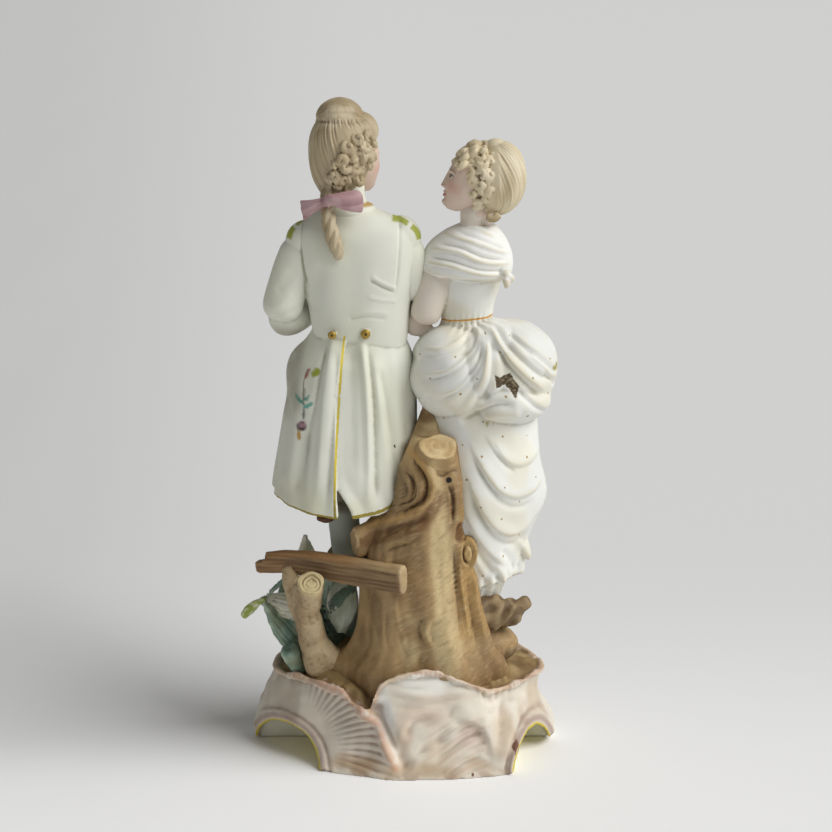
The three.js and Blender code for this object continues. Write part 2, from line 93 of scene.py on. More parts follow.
class BisqueColours(bpy.types.PropertyGroup):
    """Ground colours of the fired paint, and of the paper behind."""
    shell: colour_prop("Shell base", "Pale body of the shell-worked base", "#e2dacb")
    bark: colour_prop("Bark", "Mean stain of the stump", "#a98d63")
    rail: colour_prop("Rail", "Stain of the fence rail", "#997d5b")
    leaves: colour_prop("Leaves", "Wash on the water plants", "#8fa692")
    coat: colour_prop("Coat", "Satin white of the coat", "#e1e2d5")
    his_wig: colour_prop("Wig", "Wash on the gentleman's wig", "#bbab8c")
    ribbon: colour_prop("Ribbon", "Rose enamel of the bow at the queue", "#ab888a")
    dress: colour_prop("Dress", "Satin white of the dress", "#ebebe4")
    her_hair: colour_prop("Hair", "Wash on the lady's hair", "#d6c8a8")
    gold: colour_prop("Gold", "Brushed gold of the lines", "#d2be43")
    backdrop: colour_prop("Backdrop", "Paper that the group stands on", "#ebebeb")


def chosen(name):
    """A size that the user can change, in millimetres."""
    return getattr(bpy.context.scene.bisque_sizes, name) / MM


def tint(name):
    """A colour that the user can change, as linear red, green, blue and alpha."""
    return (*getattr(bpy.context.scene.bisque_colours, name), 1.0)


# Sizes in millimetres. A table's columns are height, centre X, centre Y, half width and half depth.
# The foot of the base is given in X and Y, its rim in X, Y and Z, and an arch by its ends in X and its height.

GROUND_LINE = [
    (76, 4), (70, -22), (57, -49), (32, -57), (8, -59), (-4, -59), (-17, -55), (-41, -46),
    (-62, -24), (-74.5, 0), (-68, 26), (-46, 46), (-24, 54), (2, 57), (28, 54), (50, 46), (70, 28),
]
RIM_LINE = [
    (72, 0, 40), (62, -21, 40), (45, -36, 39), (34, -42, 45), (13, -45, 52), (-9, -47, 47), (-17, -47, 32),
    (-31, -37, 39), (-48, -23, 41), (-64, -3, 39), (-58, 23, 42), (-39, 38, 40), (-22, 45, 44), (2, 47, 36),
    (25, 45, 44), (42, 39, 40), (60, 24, 42),
]
ARCHES = [(-74, -41, 17), (56, 76, 15)]
ARCH_WALLS = (-2, 4)

TRUNK = [
    (30, 8, -9, 46, 30), (47, 8.5, -12, 44, 32), (56, 10.5, -15.5, 36, 27.5), (67, 11, -18.5, 32, 24),
    (80, 9.8, -20, 30, 22), (104, 8, -20, 28.5, 18), (114, 8.4, -20, 26, 17), (122, 10, -20, 23, 16),
    (131, 13.4, -20, 19, 14.5), (141, 14.4, -20, 17.2, 13.5), (150, 15, -19.5, 15.8, 12.5),
    (157, 15.8, -18.5, 14.2, 11.5),
    (164, 16.4, -16.5, 11.6, 9.5),
]

MAN_TORSO = [
    (184, -22, 3, 20, 14), (200, -21, 1, 22.5, 17), (214, -20, 0, 23.8, 16.8), (226, -20.5, 0, 25, 17.5),
    (240, -21, 0, 27.5, 18), (254, -22, -1, 30, 17), (264, -22.5, -1, 28.5, 15), (271, -24, 0, 20, 12),
    (276, -26.5, 1.5, 11, 10), (286, -27, 2, 9, 9),
]
COAT_SKIRT = [
    (124, -28.5, 2, 34.5, 33), (133, -27.5, 2, 33.5, 32), (158, -25.8, 2, 31, 28), (184, -24, 2, 27.8, 23.5),
    (200, -21.8, 1.5, 25.2, 20.3), (215, -20.4, 0, 24.0, 17.2),
]
COAT_TOP = 219
COAT_FRONT_ANGLE = math.radians(126)
WIG = [
    (278, -31.5, -3, 6, 6), (284, -31.2, -2, 8.6, 9.5), (289, -30.2, -1.5, 12.4, 12.5), (296, -29.6, -1, 14.6, 15.5),
    (305, -29.3, -0.5, 15.2, 16.5), (311, -28.8, 0, 14.8, 15.5), (316, -28.2, 0.5, 13, 13.5), (320, -28.2, 1, 9.6, 11),
    (323, -28.6, 2, 5.5, 7),
]

LADY_TORSO = [
    (212, 33, 4, 13.5, 12), (219, 32.5, 4, 12.6, 11), (230, 32.5, 3.5, 14.5, 12), (240, 33, 3, 17, 13),
    (250, 33.5, 3, 18.5, 12.5), (258, 34.5, 3, 14, 10.5), (264, 36, 3, 8.5, 8),
]
SKIRT = [
    (60, 36, 3, 22, 25), (90, 36.4, 3, 25, 27), (106, 37, 3, 26.4, 28.5), (117, 38.6, 3, 29.4, 30),
    (131, 41, 3, 32.4, 31), (150, 40, 3, 30, 30), (165, 39.6, 4, 29, 28), (190, 38, 4, 27, 24), (208, 34, 4, 18, 16),
    (218, 32.8, 4, 13, 11.5),
]


# The view: distance and height of the target in millimetres, tilt in degrees, and the axis of the group in pixels
CAMERA_DISTANCE = 1100
CAMERA_TILT = 14
CAMERA_TARGET_HEIGHT = 165
CAMERA_LENS = 95.2
IMAGE_SIZE = 832
AXIS_PIXEL = (401, 426)

# The light: where it stands and what it is aimed at in metres, its spread in degrees, and the power of it and the sky
KEY_PLACE = (1.0, -0.36, 1.12)
KEY_AIM = (0, 0, 0.16)
KEY_SPREAD = 46
KEY_POWER = 2.7
SKY_POWER = 0.21

# Each piece's voxel in millimetres, its rounds of smoothing, its most triangles, and the rounds by which its hollows
# are felt for
MAKING = {
    "shell_base": (0.72, 2, 140000, 10), "tree_stump": (0.55, 2, 125000, 8), "broken_fence": (0.4, 2, 60000, 8),
    "water_plants": (0.42, 2, 76000, 8), "gentleman": (0.66, 2, 165000, 8), "gentleman_head": (0.33, 1, 128000, 10),
    "lady": (0.66, 2, 165000, 8), "lady_head": (0.33, 1, 128000, 10),
}


# Numbers and curves

def smooth(share):
    share = np.clip(share, 0, 1)
    return share * share * (3 - 2 * share)


def bump(value, centre, reach):
    return np.exp(-(((value - centre) / reach) ** 2))


def mix(a, b, share):
    return a + (b - a) * share


def rows_at(table, values):
    """The smooth columns of a table at the given values of its first column."""
    table = np.asarray(table, float)
    keys, columns = table[:, 0], table[:, 1:]
    i = np.clip(np.searchsorted(keys, values, side="right") - 1, 0, len(keys) - 2)
    before, after = np.maximum(i - 1, 0), np.minimum(i + 2, len(keys) - 1)
    span = keys[i + 1] - keys[i]
    t = np.clip((values - keys[i]) / span, 0, 1)[..., None]
    start, end = columns[i], columns[i + 1]
    slope_in = (end - columns[before]) * (span / (keys[i + 1] - keys[before]))[..., None]
    slope_out = (columns[after] - start) * (span / (keys[after] - keys[i]))[..., None]
    found = (start * (2 * t**3 - 3 * t**2 + 1) + slope_in * (t**3 - 2 * t**2 + t)
             + end * (3 * t**2 - 2 * t**3) + slope_out * (t**3 - t**2))
    return np.moveaxis(found, -1, 0)


def curve_at(points, share, closed=False):
    """The smooth curve through points, at each share of the way along it from 0 to 1."""
    points = np.asarray(points, float)
    count = len(points) if closed else len(points) - 1
    place = np.clip(share, 0, 1) * count
    i = np.minimum(place.astype(int), count - 1)
    t = (place - i)[..., None]
    wrap_round = (lambda k: k % len(points)) if closed else (lambda k: np.clip(k, 0, len(points) - 1))
    a, b, c, d = (points[wrap_round(i + step)] for step in (-1, 0, 1, 2))
    return 0.5 * (2 * b + (c - a) * t + (2 * a - 5 * b + 4 * c - d) * t**2 + (3 * b - a - 3 * c + d) * t**3)


def stacked(x, y, z):
    return np.stack(np.broadcast_arrays(x, y, z), axis=-1)


def unit(vectors):
    return vectors / np.maximum(np.linalg.norm(vectors, axis=-1, keepdims=True), 1e-9)


# Forms, modelled in millimetres and brought to metres when a piece is finished

ZONES = []


def zone_number(zone):
    if zone not in ZONES:
        ZONES.append(zone)
    return ZONES.index(zone)


def name_zone(piece, zone):
    """Marks every face of a form with the surface that it belongs to."""
    mark = piece.data.attributes.new("zone", "INT", "FACE")
    mark.data.foreach_set("value", np.full(len(piece.data.polygons), zone_number(zone), np.int32))
    return piece


def grid_of(points):
    """A grid primitive shaped to the rows and columns of the given points."""
    bpy.ops.object.select_all(action="DESELECT")
    rows, columns = points.shape[:2]
    bpy.ops.mesh.primitive_grid_add(x_subdivisions=columns - 1, y_subdivisions=rows - 1, size=1)
    piece = bpy.context.object
    piece.data.vertices.foreach_set("co", points.astype(np.float32).reshape(-1))
    return piece


def close_up(piece):
    """Welds the seam and the ends of a rolled-up grid and turns its faces outwards."""
    bpy.ops.object.mode_set(mode="EDIT")
    bpy.ops.mesh.select_all(action="SELECT")
    bpy.ops.mesh.remove_doubles(threshold=1e-4)
    bpy.ops.mesh.normals_make_consistent(inside=False)
    bpy.ops.object.mode_set(mode="OBJECT")
    return piece


def wrapped(zone, place, around, along):
    """A closed skin round a form: place(turn, share) gives its points, row by row."""
    turn = np.linspace(0, TURN, around + 1)[None, :]
    share = np.linspace(0, 1, along + 1)[:, None]
    skin = place(turn, share)
    skin[:, -1] = skin[:, 0]
    ends = [np.broadcast_to(row[:-1].mean(axis=0), row.shape) for row in (skin[0], skin[-1])]
    points = np.concatenate([ends[0][None], skin, ends[1][None]])
    return name_zone(close_up(grid_of(points)), zone)


def stack(zone, table, around, along, squareness=2.0, relief=None):
    """A closed form stacked up from a table of ovals, with relief(turn, height) outwards."""
    low, high = table[0][0], table[-1][0]

    def place(turn, share):
        z = mix(low, high, share) + 0 * turn
        x, y, width, depth = rows_at(table, z)
        out = relief(turn, z) if relief else 0
        power = 2 / squareness
        cosine, sine = np.cos(turn), np.sin(turn)
        return stacked(x + (width + out) * np.sign(cosine) * np.abs(cosine) ** power,
                       y + (depth + out) * np.sign(sine) * np.abs(sine) ** power, z)

    return wrapped(zone, place, around, along)


def limb(zone, path, radii, around=40, along=48, flat=1.0, side=(1, 0, 0), relief=None):
    """A round-ended form along a smooth path, with a radius at each of its points."""
    sample = curve_at(path, np.linspace(0, 1, 60))
    length = np.linalg.norm(np.diff(sample, axis=0), axis=1).sum()

    def place(turn, share):
        t = share[:, 0]
        # the rings crowd towards the ends, where the form rounds off
        t = mix(t, 0.5 - 0.5 * np.cos(math.pi * t), 0.6)
        centre = curve_at(path, t)
        tangent = unit(curve_at(path, np.minimum(t + 1e-3, 1)) - curve_at(path, np.maximum(t - 1e-3, 0)))
        away = unit(np.cross(tangent, side))
        across = unit(np.cross(away, tangent))
        radius = curve_at([(r,) for r in radii], t)[:, 0]
        end = np.clip(np.minimum(t, 1 - t) * length / np.maximum(radius, 1e-6), 0, 1)
        radius = radius * np.sqrt(np.maximum(1 - (1 - end) ** 2, 4e-3))
        out = relief(turn, t[:, None]) if relief else 0 * turn
        reach = (radius[:, None] + out)[..., None]
        turn = turn[..., None]
        return centre[:, None] + reach * (np.cos(turn) * across[:, None] + np.sin(turn) * away[:, None] * flat)

    return wrapped(zone, place, around, along)


def ball(zone, centre, radii, turned=(0, 0, 0), rings=20):
    """An oval ball, turned about X, Y and Z in degrees."""
    bpy.ops.object.select_all(action="DESELECT")
    bpy.ops.mesh.primitive_uv_sphere_add(
        segments=2 * rings, ring_count=rings, radius=1, location=centre,
        rotation=[math.radians(a) for a in turned], scale=radii)
    piece = bpy.context.object
    bpy.ops.object.transform_apply(location=True, rotation=True, scale=True)
    return name_zone(piece, zone)


def sheet(zone, place, across, down, thickness, flip=False):
    """A sheet of even thickness, whose outer face is place(u, v), both from 0 to 1."""
    u = np.linspace(0, 1, across + 1)[None, :]
    v = np.linspace(0, 1, down + 1)[:, None]
    piece = grid_of(place(u, v))
    if flip:
        bpy.ops.object.mode_set(mode="EDIT")
        bpy.ops.mesh.select_all(action="SELECT")
        bpy.ops.mesh.flip_normals()
        bpy.ops.object.mode_set(mode="OBJECT")
    wall = piece.modifiers.new("wall", "SOLIDIFY")
    wall.thickness = thickness
    wall.offset = -1
    bpy.ops.object.modifier_apply(modifier=wall.name)
    return name_zone(piece, zone)


# Finishing a piece

class Piece:
    """A fused and carved mesh, with its points, normals and zones to hand."""

    def __init__(self, name, forms):
        voxel, smoothing, self.most_triangles, self.hollow_rounds = MAKING[name]
        bpy.ops.object.select_all(action="DESELECT")
        for form in forms:
            form.select_set(True)
        bpy.context.view_layer.objects.active = forms[0]
        if len(forms) > 1:
            bpy.ops.object.join()
        self.object = bpy.context.object
        self.object.name = name
        self.object.data.name = name
        self.source = BVHTree.FromObject(self.object, bpy.context.evaluated_depsgraph_get())
        marks = self.object.data.attributes["zone"].data
        self.source_zones = np.empty(len(marks), np.int32)
        marks.foreach_get("value", self.source_zones)
        fired = self.object.modifiers.new("fused", "REMESH")
        fired.mode = "VOXEL"
        fired.voxel_size = voxel * COARSER
        bpy.ops.object.modifier_apply(modifier=fired.name)
        soft = self.object.modifiers.new("sponged", "SMOOTH")
        soft.factor = 0.5
        soft.iterations = smoothing
        bpy.ops.object.modifier_apply(modifier=soft.name)

    @property
    def points(self):
        found = np.empty(3 * len(self.object.data.vertices), np.float32)
        self.object.data.vertices.foreach_get("co", found)
        return found.reshape(-1, 3).astype(float)

    @property
    def normals(self):
        found = np.empty(3 * len(self.object.data.vertices), np.float32)
        self.object.data.vertex_normals.foreach_get("vector", found)
        return found.reshape(-1, 3).astype(float)

    def move_to(self, points):
        self.object.data.vertices.foreach_set("co", points.astype(np.float32).reshape(-1))
        self.object.data.update()

    def carve(self, relief):
        """Moves each point along its normal by relief(points, normals), in millimetres."""
        points, normals = self.points, self.normals
        self.move_to(points + normals * relief(points, normals)[:, None])

    def model(self, relief):
        """Carves the relief, thins the mesh out and notes its hollows for the material."""
        self.carve(relief)
        self.thin_to(self.most_triangles)
        self.note("hollow", self.hollows(self.hollow_rounds))

    def thin_to(self, triangles):
        """Gathers the triangles where the form bends, down to the given number."""
        faces = self.object.data
        faces.calc_loop_triangles()
        have = len(faces.loop_triangles)
        if have > triangles:
            thin = self.object.modifiers.new("thinned", "DECIMATE")
            thin.ratio = triangles / have
            bpy.context.view_layer.objects.active = self.object
            bpy.ops.object.modifier_apply(modifier=thin.name)

    def zones(self):
        """The number of the zone that each point came from."""
        faces = [self.source.find_nearest(point)[2] for point in self.points.tolist()]
        return self.source_zones[np.array(faces)]

    def hollows(self, rounds):
        """How far each point lies below its surroundings, in millimetres."""
        mesh = self.object.data
        ends = np.empty(2 * len(mesh.edges), np.int32)
        mesh.edges.foreach_get("vertices", ends)
        a, b = ends[::2], ends[1::2]
        count = len(mesh.vertices)
        degree = np.maximum(np.bincount(a, minlength=count) + np.bincount(b, minlength=count), 1)
        points = self.points
        level = points.copy()
        for _ in range(rounds):
            level = np.stack([
                (np.bincount(a, level[b, k], count) + np.bincount(b, level[a, k], count)) / degree
                for k in range(3)], axis=1)
        return ((level - points) * self.normals).sum(axis=1)

    def note(self, name, values):
        """Keeps a number, a vector or a colour at each point, for the material."""
        kind, key = {1: ("FLOAT", "value"), 3: ("FLOAT_VECTOR", "vector"), 4: ("FLOAT_COLOR", "color")}[
            1 if values.ndim == 1 else values.shape[1]]
        layer = self.object.data.attributes.new(name, kind, "POINT")
        layer.data.foreach_set(key, values.astype(np.float32).reshape(-1))

    def finish(self, materials, by_zone=None):
        """Gives the piece its materials and its real size, and puts it on the frame."""
        mesh = self.object.data
        mesh.materials.clear()
        for material in materials:
            mesh.materials.append(material)
        if by_zone is not None:
            corner = np.empty(len(mesh.polygons), np.int32)
            mesh.polygons.foreach_get("loop_start", corner)
            loops = np.empty(len(mesh.loops), np.int32)
            mesh.loops.foreach_get("vertex_index", loops)
            mesh.polygons.foreach_set("material_index", by_zone[loops[corner]].astype(np.int32))
        for attribute in [a for a in mesh.attributes if a.name == "zone"]:
            mesh.attributes.remove(attribute)
        self.move_to(self.points * MM)
        bpy.ops.object.select_all(action="DESELECT")
        self.object.select_set(True)
        bpy.context.view_layer.objects.active = self.object
        bpy.ops.object.shade_smooth()
        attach(self.object, "root")
        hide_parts(NODE)
        return self.object


def path_distance(points, line, reach):
    """For points near a line drawn in X and Z: which they are, their distance (negative on the line's left)
    and how far along they lie."""
    path = curve_at(line, np.linspace(0, 1, 8 * len(line)))
    low, high = path.min(axis=0) - reach, path.max(axis=0) + reach
    flat = points[:, (0, 2)]
    near = np.nonzero(((flat > low) & (flat < high)).all(axis=1))[0]
    spot = flat[near]
    best = np.full(len(near), FARTHEST)
    signed = np.full(len(near), FARTHEST)
    place = np.zeros(len(near))
    steps = len(path) - 1
    for i in range(steps):
        start, step = path[i], path[i + 1] - path[i]
        offset = spot - start
        t = np.clip(offset @ step / max(step @ step, 1e-9), 0, 1)
        gap = offset - t[:, None] * step
        distance = np.hypot(gap[:, 0], gap[:, 1])
        closer = distance < best
        side = np.sign(step[0] * offset[:, 1] - step[1] * offset[:, 0])
        best = np.where(closer, distance, best)
        signed = np.where(closer, -side * distance, signed)
        place = np.where(closer, (i + t) / steps, place)
    return near, signed, place


def fold(points, normals, line, width, height, lean=1.0, side=-1, taper=0.3):
    """The lift of a ridge, or of a groove with a negative height, drawn in X and Z on one side of a piece.
    lean widens its right slope and narrows its left one."""
    near, distance, place = path_distance(points, line, 3 * width * max(lean, 1 / lean))
    slope = np.where(distance > 0, width * lean, width / lean)
    ends = smooth(np.minimum(place, 1 - place) / taper) if taper else 1.0
    lift = np.zeros(len(points))
    lift[near] = height * np.exp(-((distance / slope) ** 2)) * ends * smooth(side * normals[near, 1] * 2.5 + 0.2)
    return lift


def grain(points, size, seed=0, stretch=(1, 1, 1)):
    """Even lumpiness from -1 to 1 with lumps of the given size, by waves in many directions."""
    waves = np.random.default_rng(seed)
    total = np.zeros(len(points))
    scaled = points / np.asarray(stretch, float)
    for _ in range(9):
        direction = unit(waves.normal(size=3))
        total += np.sin(scaled @ direction * TURN / (size * waves.uniform(1.4, 3.0)) + waves.uniform(0, TURN))
    return total / 3


# Materials

def add(tree, kind, settings=None, links=None):
    """Adds a node, sets its properties and sockets, and links its inputs from other nodes' outputs."""
    node = tree.nodes.new("ShaderNode" + kind)
    for name, value in (settings or {}).items():
        if isinstance(name, str) and hasattr(node, name):
            setattr(node, name, value)
        else:
            node.inputs[name].default_value = value
    for name, source in (links or {}).items():
        tree.links.new(source, node.inputs[name])
    return node


def per_metre(millimetres):
    """A texture scale whose pattern repeats at the given size."""
    return 1 / (millimetres * MM)


def new_finish(name):
    material = bpy.data.materials.new(name)
    material.use_nodes = True
    tree = material.node_tree
    tree.nodes.clear()
    return material, tree


def painted_bisque(name, stain_and_shade_colour, grain_mm=0.5, roughness=0.45, mottle=0.06, speckle=0.05, gloss=0.35,
                   stain_and_shade_share=0.8, sheen_of_wear=None, extras=None, bump_share=0.25):
    """Bisque with fired-on colour: the airbrushed paint of the mesh, wiped stain and painted shade in its hollows,
    a faint mottle and the fine stipple of the spray. extras(tree, colour, roughness) may paint on top."""
    material, tree = new_finish(name)
    paint = add(tree, "Attribute", {"attribute_name": "paint"}).outputs["Color"]
    hollow = add(tree, "Attribute", {"attribute_name": "hollow"}).outputs["Fac"]
    where = add(tree, "TexCoord").outputs["Object"]
    broad = add(tree, "TexNoise", {"Scale": per_metre(14), "Detail": 3.0}, {"Vector": where})
    fine = add(tree, "TexNoise", {"Scale": per_metre(grain_mm), "Detail": 4.0, "Roughness": 0.65},
               {"Vector": where})
    broad_share = add(tree, "MapRange",
                      {"From Min": 0.3, "From Max": 0.7, "To Min": 1 - mottle, "To Max": 1 + mottle},
                      {"Value": broad.outputs["Fac"]}).outputs[0]
    fine_share = add(tree, "MapRange",
                     {"From Min": 0.3, "From Max": 0.7, "To Min": 1 - speckle, "To Max": 1 + speckle},
                     {"Value": fine.outputs["Fac"]}).outputs[0]
    both = add(tree, "Math", {"operation": "MULTIPLY"}, {0: broad_share, 1: fine_share}).outputs[0]
    toned = add(tree, "VectorMath", {"operation": "SCALE"}, {0: paint, "Scale": both}).outputs[0]
    # wiped stain and painted shade: the hollows are darkened towards the given colour, broken up by the stipple
    stain_and_shade_place = add(tree, "Math", {"operation": "MULTIPLY_ADD", 1: 0.5},
                      {0: fine.outputs["Fac"], 2: hollow}).outputs[0]
    stain_and_shade = add(tree, "MapRange",
                {"interpolation_type": "SMOOTHSTEP", "From Min": 0.28, "From Max": 0.75,
                 "To Min": 0.0, "To Max": stain_and_shade_share}, {"Value": stain_and_shade_place}).outputs[0]
    colour = add(tree, "Mix", {"data_type": "RGBA", 7: linear(stain_and_shade_colour)}, {0: stain_and_shade, 6: toned}).outputs[2]
    if sheen_of_wear:
        ridge = add(tree, "MapRange",
                    {"interpolation_type": "SMOOTHSTEP", "From Min": -0.1, "From Max": -0.5,
                     "To Min": 0.0, "To Max": 0.6}, {"Value": hollow}).outputs[0]
        colour = add(tree, "Mix", {"data_type": "RGBA", 7: linear(sheen_of_wear)},
                     {0: ridge, 6: colour}).outputs[2]
    dull = add(tree, "MapRange",
               {"From Min": 0.3, "From Max": 0.7, "To Min": roughness - 0.06, "To Max": roughness + 0.08},
               {"Value": broad.outputs["Fac"]}).outputs[0]
    metal = None
    if extras:
        colour, dull, metal = extras(tree, colour, dull)
    relief = add(tree, "Bump", {"Strength": bump_share, "Distance": 0.12 * MM},
                 {"Height": fine.outputs["Fac"]}).outputs[0]
    links = {"Base Color": colour, "Roughness": dull, "Normal": relief}
    if metal is not None:
        links["Metallic"] = metal
    shader = add(tree, "BsdfPrincipled", {"IOR": 1.5, "Specular IOR Level": gloss}, links)
    add(tree, "OutputMaterial", None, {"Surface": shader.outputs[0]})
    return material


def brushed_line(tree, distance_name, half_width, fray_mm=1.6, wear=0.35):
    """The share of a hand-laid line, from the millimetres that an attribute gives, thin where it is worn."""
    distance = add(tree, "Attribute", {"attribute_name": distance_name}).outputs["Fac"]
    where = add(tree, "TexCoord").outputs["Object"]
    fray = add(tree, "TexNoise", {"Scale": per_metre(fray_mm), "Detail": 3.0}, {"Vector": where})
    width = add(tree, "MapRange",
                {"From Min": 0.25, "From Max": 0.75, "To Min": half_width * (1 - wear), "To Max": half_width
                 * (1 + wear)},
                {"Value": fray.outputs["Fac"]}).outputs[0]
    far = add(tree, "Math", {"operation": "ABSOLUTE"}, {0: distance}).outputs[0]
    gap = add(tree, "Math", {"operation": "SUBTRACT"}, {0: width, 1: far}).outputs[0]
    return add(tree, "MapRange", {"From Min": -0.08, "From Max": 0.12}, {"Value": gap}).outputs[0]


def gilded(tree, colour, dull, share, gold, metal):
    """Lays worn gold over a colour and a roughness, and gives the metal share with them."""
    colour = add(tree, "Mix", {"data_type": "RGBA", 7: gold}, {0: share, 6: colour}).outputs[2]
    dull = add(tree, "Mix", {"data_type": "FLOAT", 3: 0.34}, {0: share, 2: dull}).outputs[0]
    shine = add(tree, "Math", {"operation": "MULTIPLY", 1: metal}, {0: share}).outputs[0]
    return colour, dull, shine


def colours_of(points, base):
    """A paint layer of one of the chosen colours, as linear red, green, blue and alpha at each point."""
    return np.tile(tint(base), (len(points), 1))


def spray(paint, hex_colour, share):
    """Airbrushes a colour over a paint layer by the share given at each point."""
    share = np.clip(share, 0, 1)[:, None]
    return paint * (1 - share) + np.array(linear(hex_colour)) * share


def sprayed(paint, layers):
    """Airbrushes layers one after another, each a colour and its share at each point."""
    for hex_colour, share in layers:
        paint = spray(paint, hex_colour, share)
    return paint


# The shell-worked base

def ground_height(x, y):
    out = np.hypot(x / 62, (y + 2) / 42)
    return mix(chosen("mound_height") + 4, 48.5, smooth((out - 0.35) / 0.65))


def shell_ribs(x, z):
    """The ribs of the left shell, from -1 in a groove to 1 on a ridge, and how strongly they show."""
    over_x, over_z = x - SHELL_HEART[0], z - SHELL_HEART[1]
    round_heart = np.degrees(np.arctan2(over_z, over_x))
    out = np.hypot(over_x, over_z)
    ribs = np.cos(np.radians(round_heart * 360 / 5.6) + 0.5 * np.sin(out / 6))
    band = smooth((out - 15) / 16) * smooth((92 - round_heart) / 34) * smooth((round_heart + 20) / 12) * (z < 42)
    return ribs, band


def base_skin(turn, share):
    u = turn / TURN + 0 * share
    share = share + 0 * turn
    low = curve_at(GROUND_LINE, u, closed=True)
    rim = curve_at(RIM_LINE, u, closed=True)
    lip_radius = 1.5 + 0.25 * np.sin(TURN * 17 * u) + 0.15 * np.sin(TURN * 41 * u)
    side_end, lip_end = 0.45, 0.58
    rise = np.clip(share / side_end, 0, 1)
    at_ends = smooth((np.abs(low[..., 0]) - 40) / 25)
    pinch = np.where(low[..., 0] > 0, np.sin(TURN * rise**0.85) + 0.3 * np.sin(math.pi * rise),
                     np.sin(math.pi * rise**0.7))
    swell = 3.5 * at_ends * pinch - 4.5 * (1 - at_ends) * np.sin(math.pi * rise)
    outward = unit(low)
    side_xy = low + (rim[..., :2] - low) * rise[..., None] + outward * swell[..., None]
    side_z = rise * (rim[..., 2] - 1.6 * lip_radius)
    roll = np.radians(mix(-60, 170, np.clip((share - side_end) / (lip_end - side_end), 0, 1)))
    rim_out = unit(rim[..., :2])
    lip_xy = rim[..., :2] + rim_out * (lip_radius * np.cos(roll))[..., None]
    lip_z = rim[..., 2] - lip_radius + lip_radius * np.sin(roll)
    inwards = np.clip((share - lip_end) / (1 - lip_end), 0, 1)
    top_xy = (rim[..., :2] - rim_out * lip_radius[..., None]) * (1 - 0.9 * inwards)[..., None]
    floor = ground_height(top_xy[..., 0], top_xy[..., 1])
    top_z = mix(rim[..., 2] - 0.9 * lip_radius, floor, smooth(inwards * 1.7))
    on_side, on_lip = share <= side_end, share <= lip_end
    xy = np.where(on_side[..., None], side_xy, np.where(on_lip[..., None], lip_xy, top_xy))
    z = np.where(on_side, side_z, np.where(on_lip, lip_z, top_z))
    return np.concatenate([xy, z[..., None]], axis=-1)


def cut_arches(body):
    """Cuts the four arched hollows out of the base."""
    for low, high, height in ARCHES:
        for wall in ARCH_WALLS:
            outside = math.copysign(80, wall)
            bpy.ops.object.select_all(action="DESELECT")
            bpy.ops.mesh.primitive_cylinder_add(
                vertices=96, radius=1, depth=1, location=((low + high) / 2, (wall + outside) / 2, 0),
                rotation=(math.pi / 2, 0, 0), scale=((high - low) / 2, height, abs(outside - wall)))
            vault = bpy.context.object
            cut = body.modifiers.new("vault", "BOOLEAN")
            cut.operation = "DIFFERENCE"
            cut.solver = "MANIFOLD"
            cut.object = vault
            bpy.context.view_layer.objects.active = body
            bpy.ops.object.modifier_apply(modifier=cut.name)
            bpy.data.objects.remove(vault)


SHELL_ROLL = [(-60, 39), (-46, 41), (-31, 39.5), (-23.4, 37.5), (-18.5, 30.5), (-11.5, 24.6), (-8.3, 16), (-3, 4.5)]
SHELL_HEART = (-52, 9)


def arch_distance(x, z):
    """Millimetres outside the nearest arch's edge, and inside it negative."""
    gaps = []
    for low, high, height in ARCHES:
        half = (high - low) / 2
        ring = np.hypot((x - (low + high) / 2) / half, z / height)
        gaps.append((ring - 1) * (half + height) / 2)
    return np.minimum(*gaps)


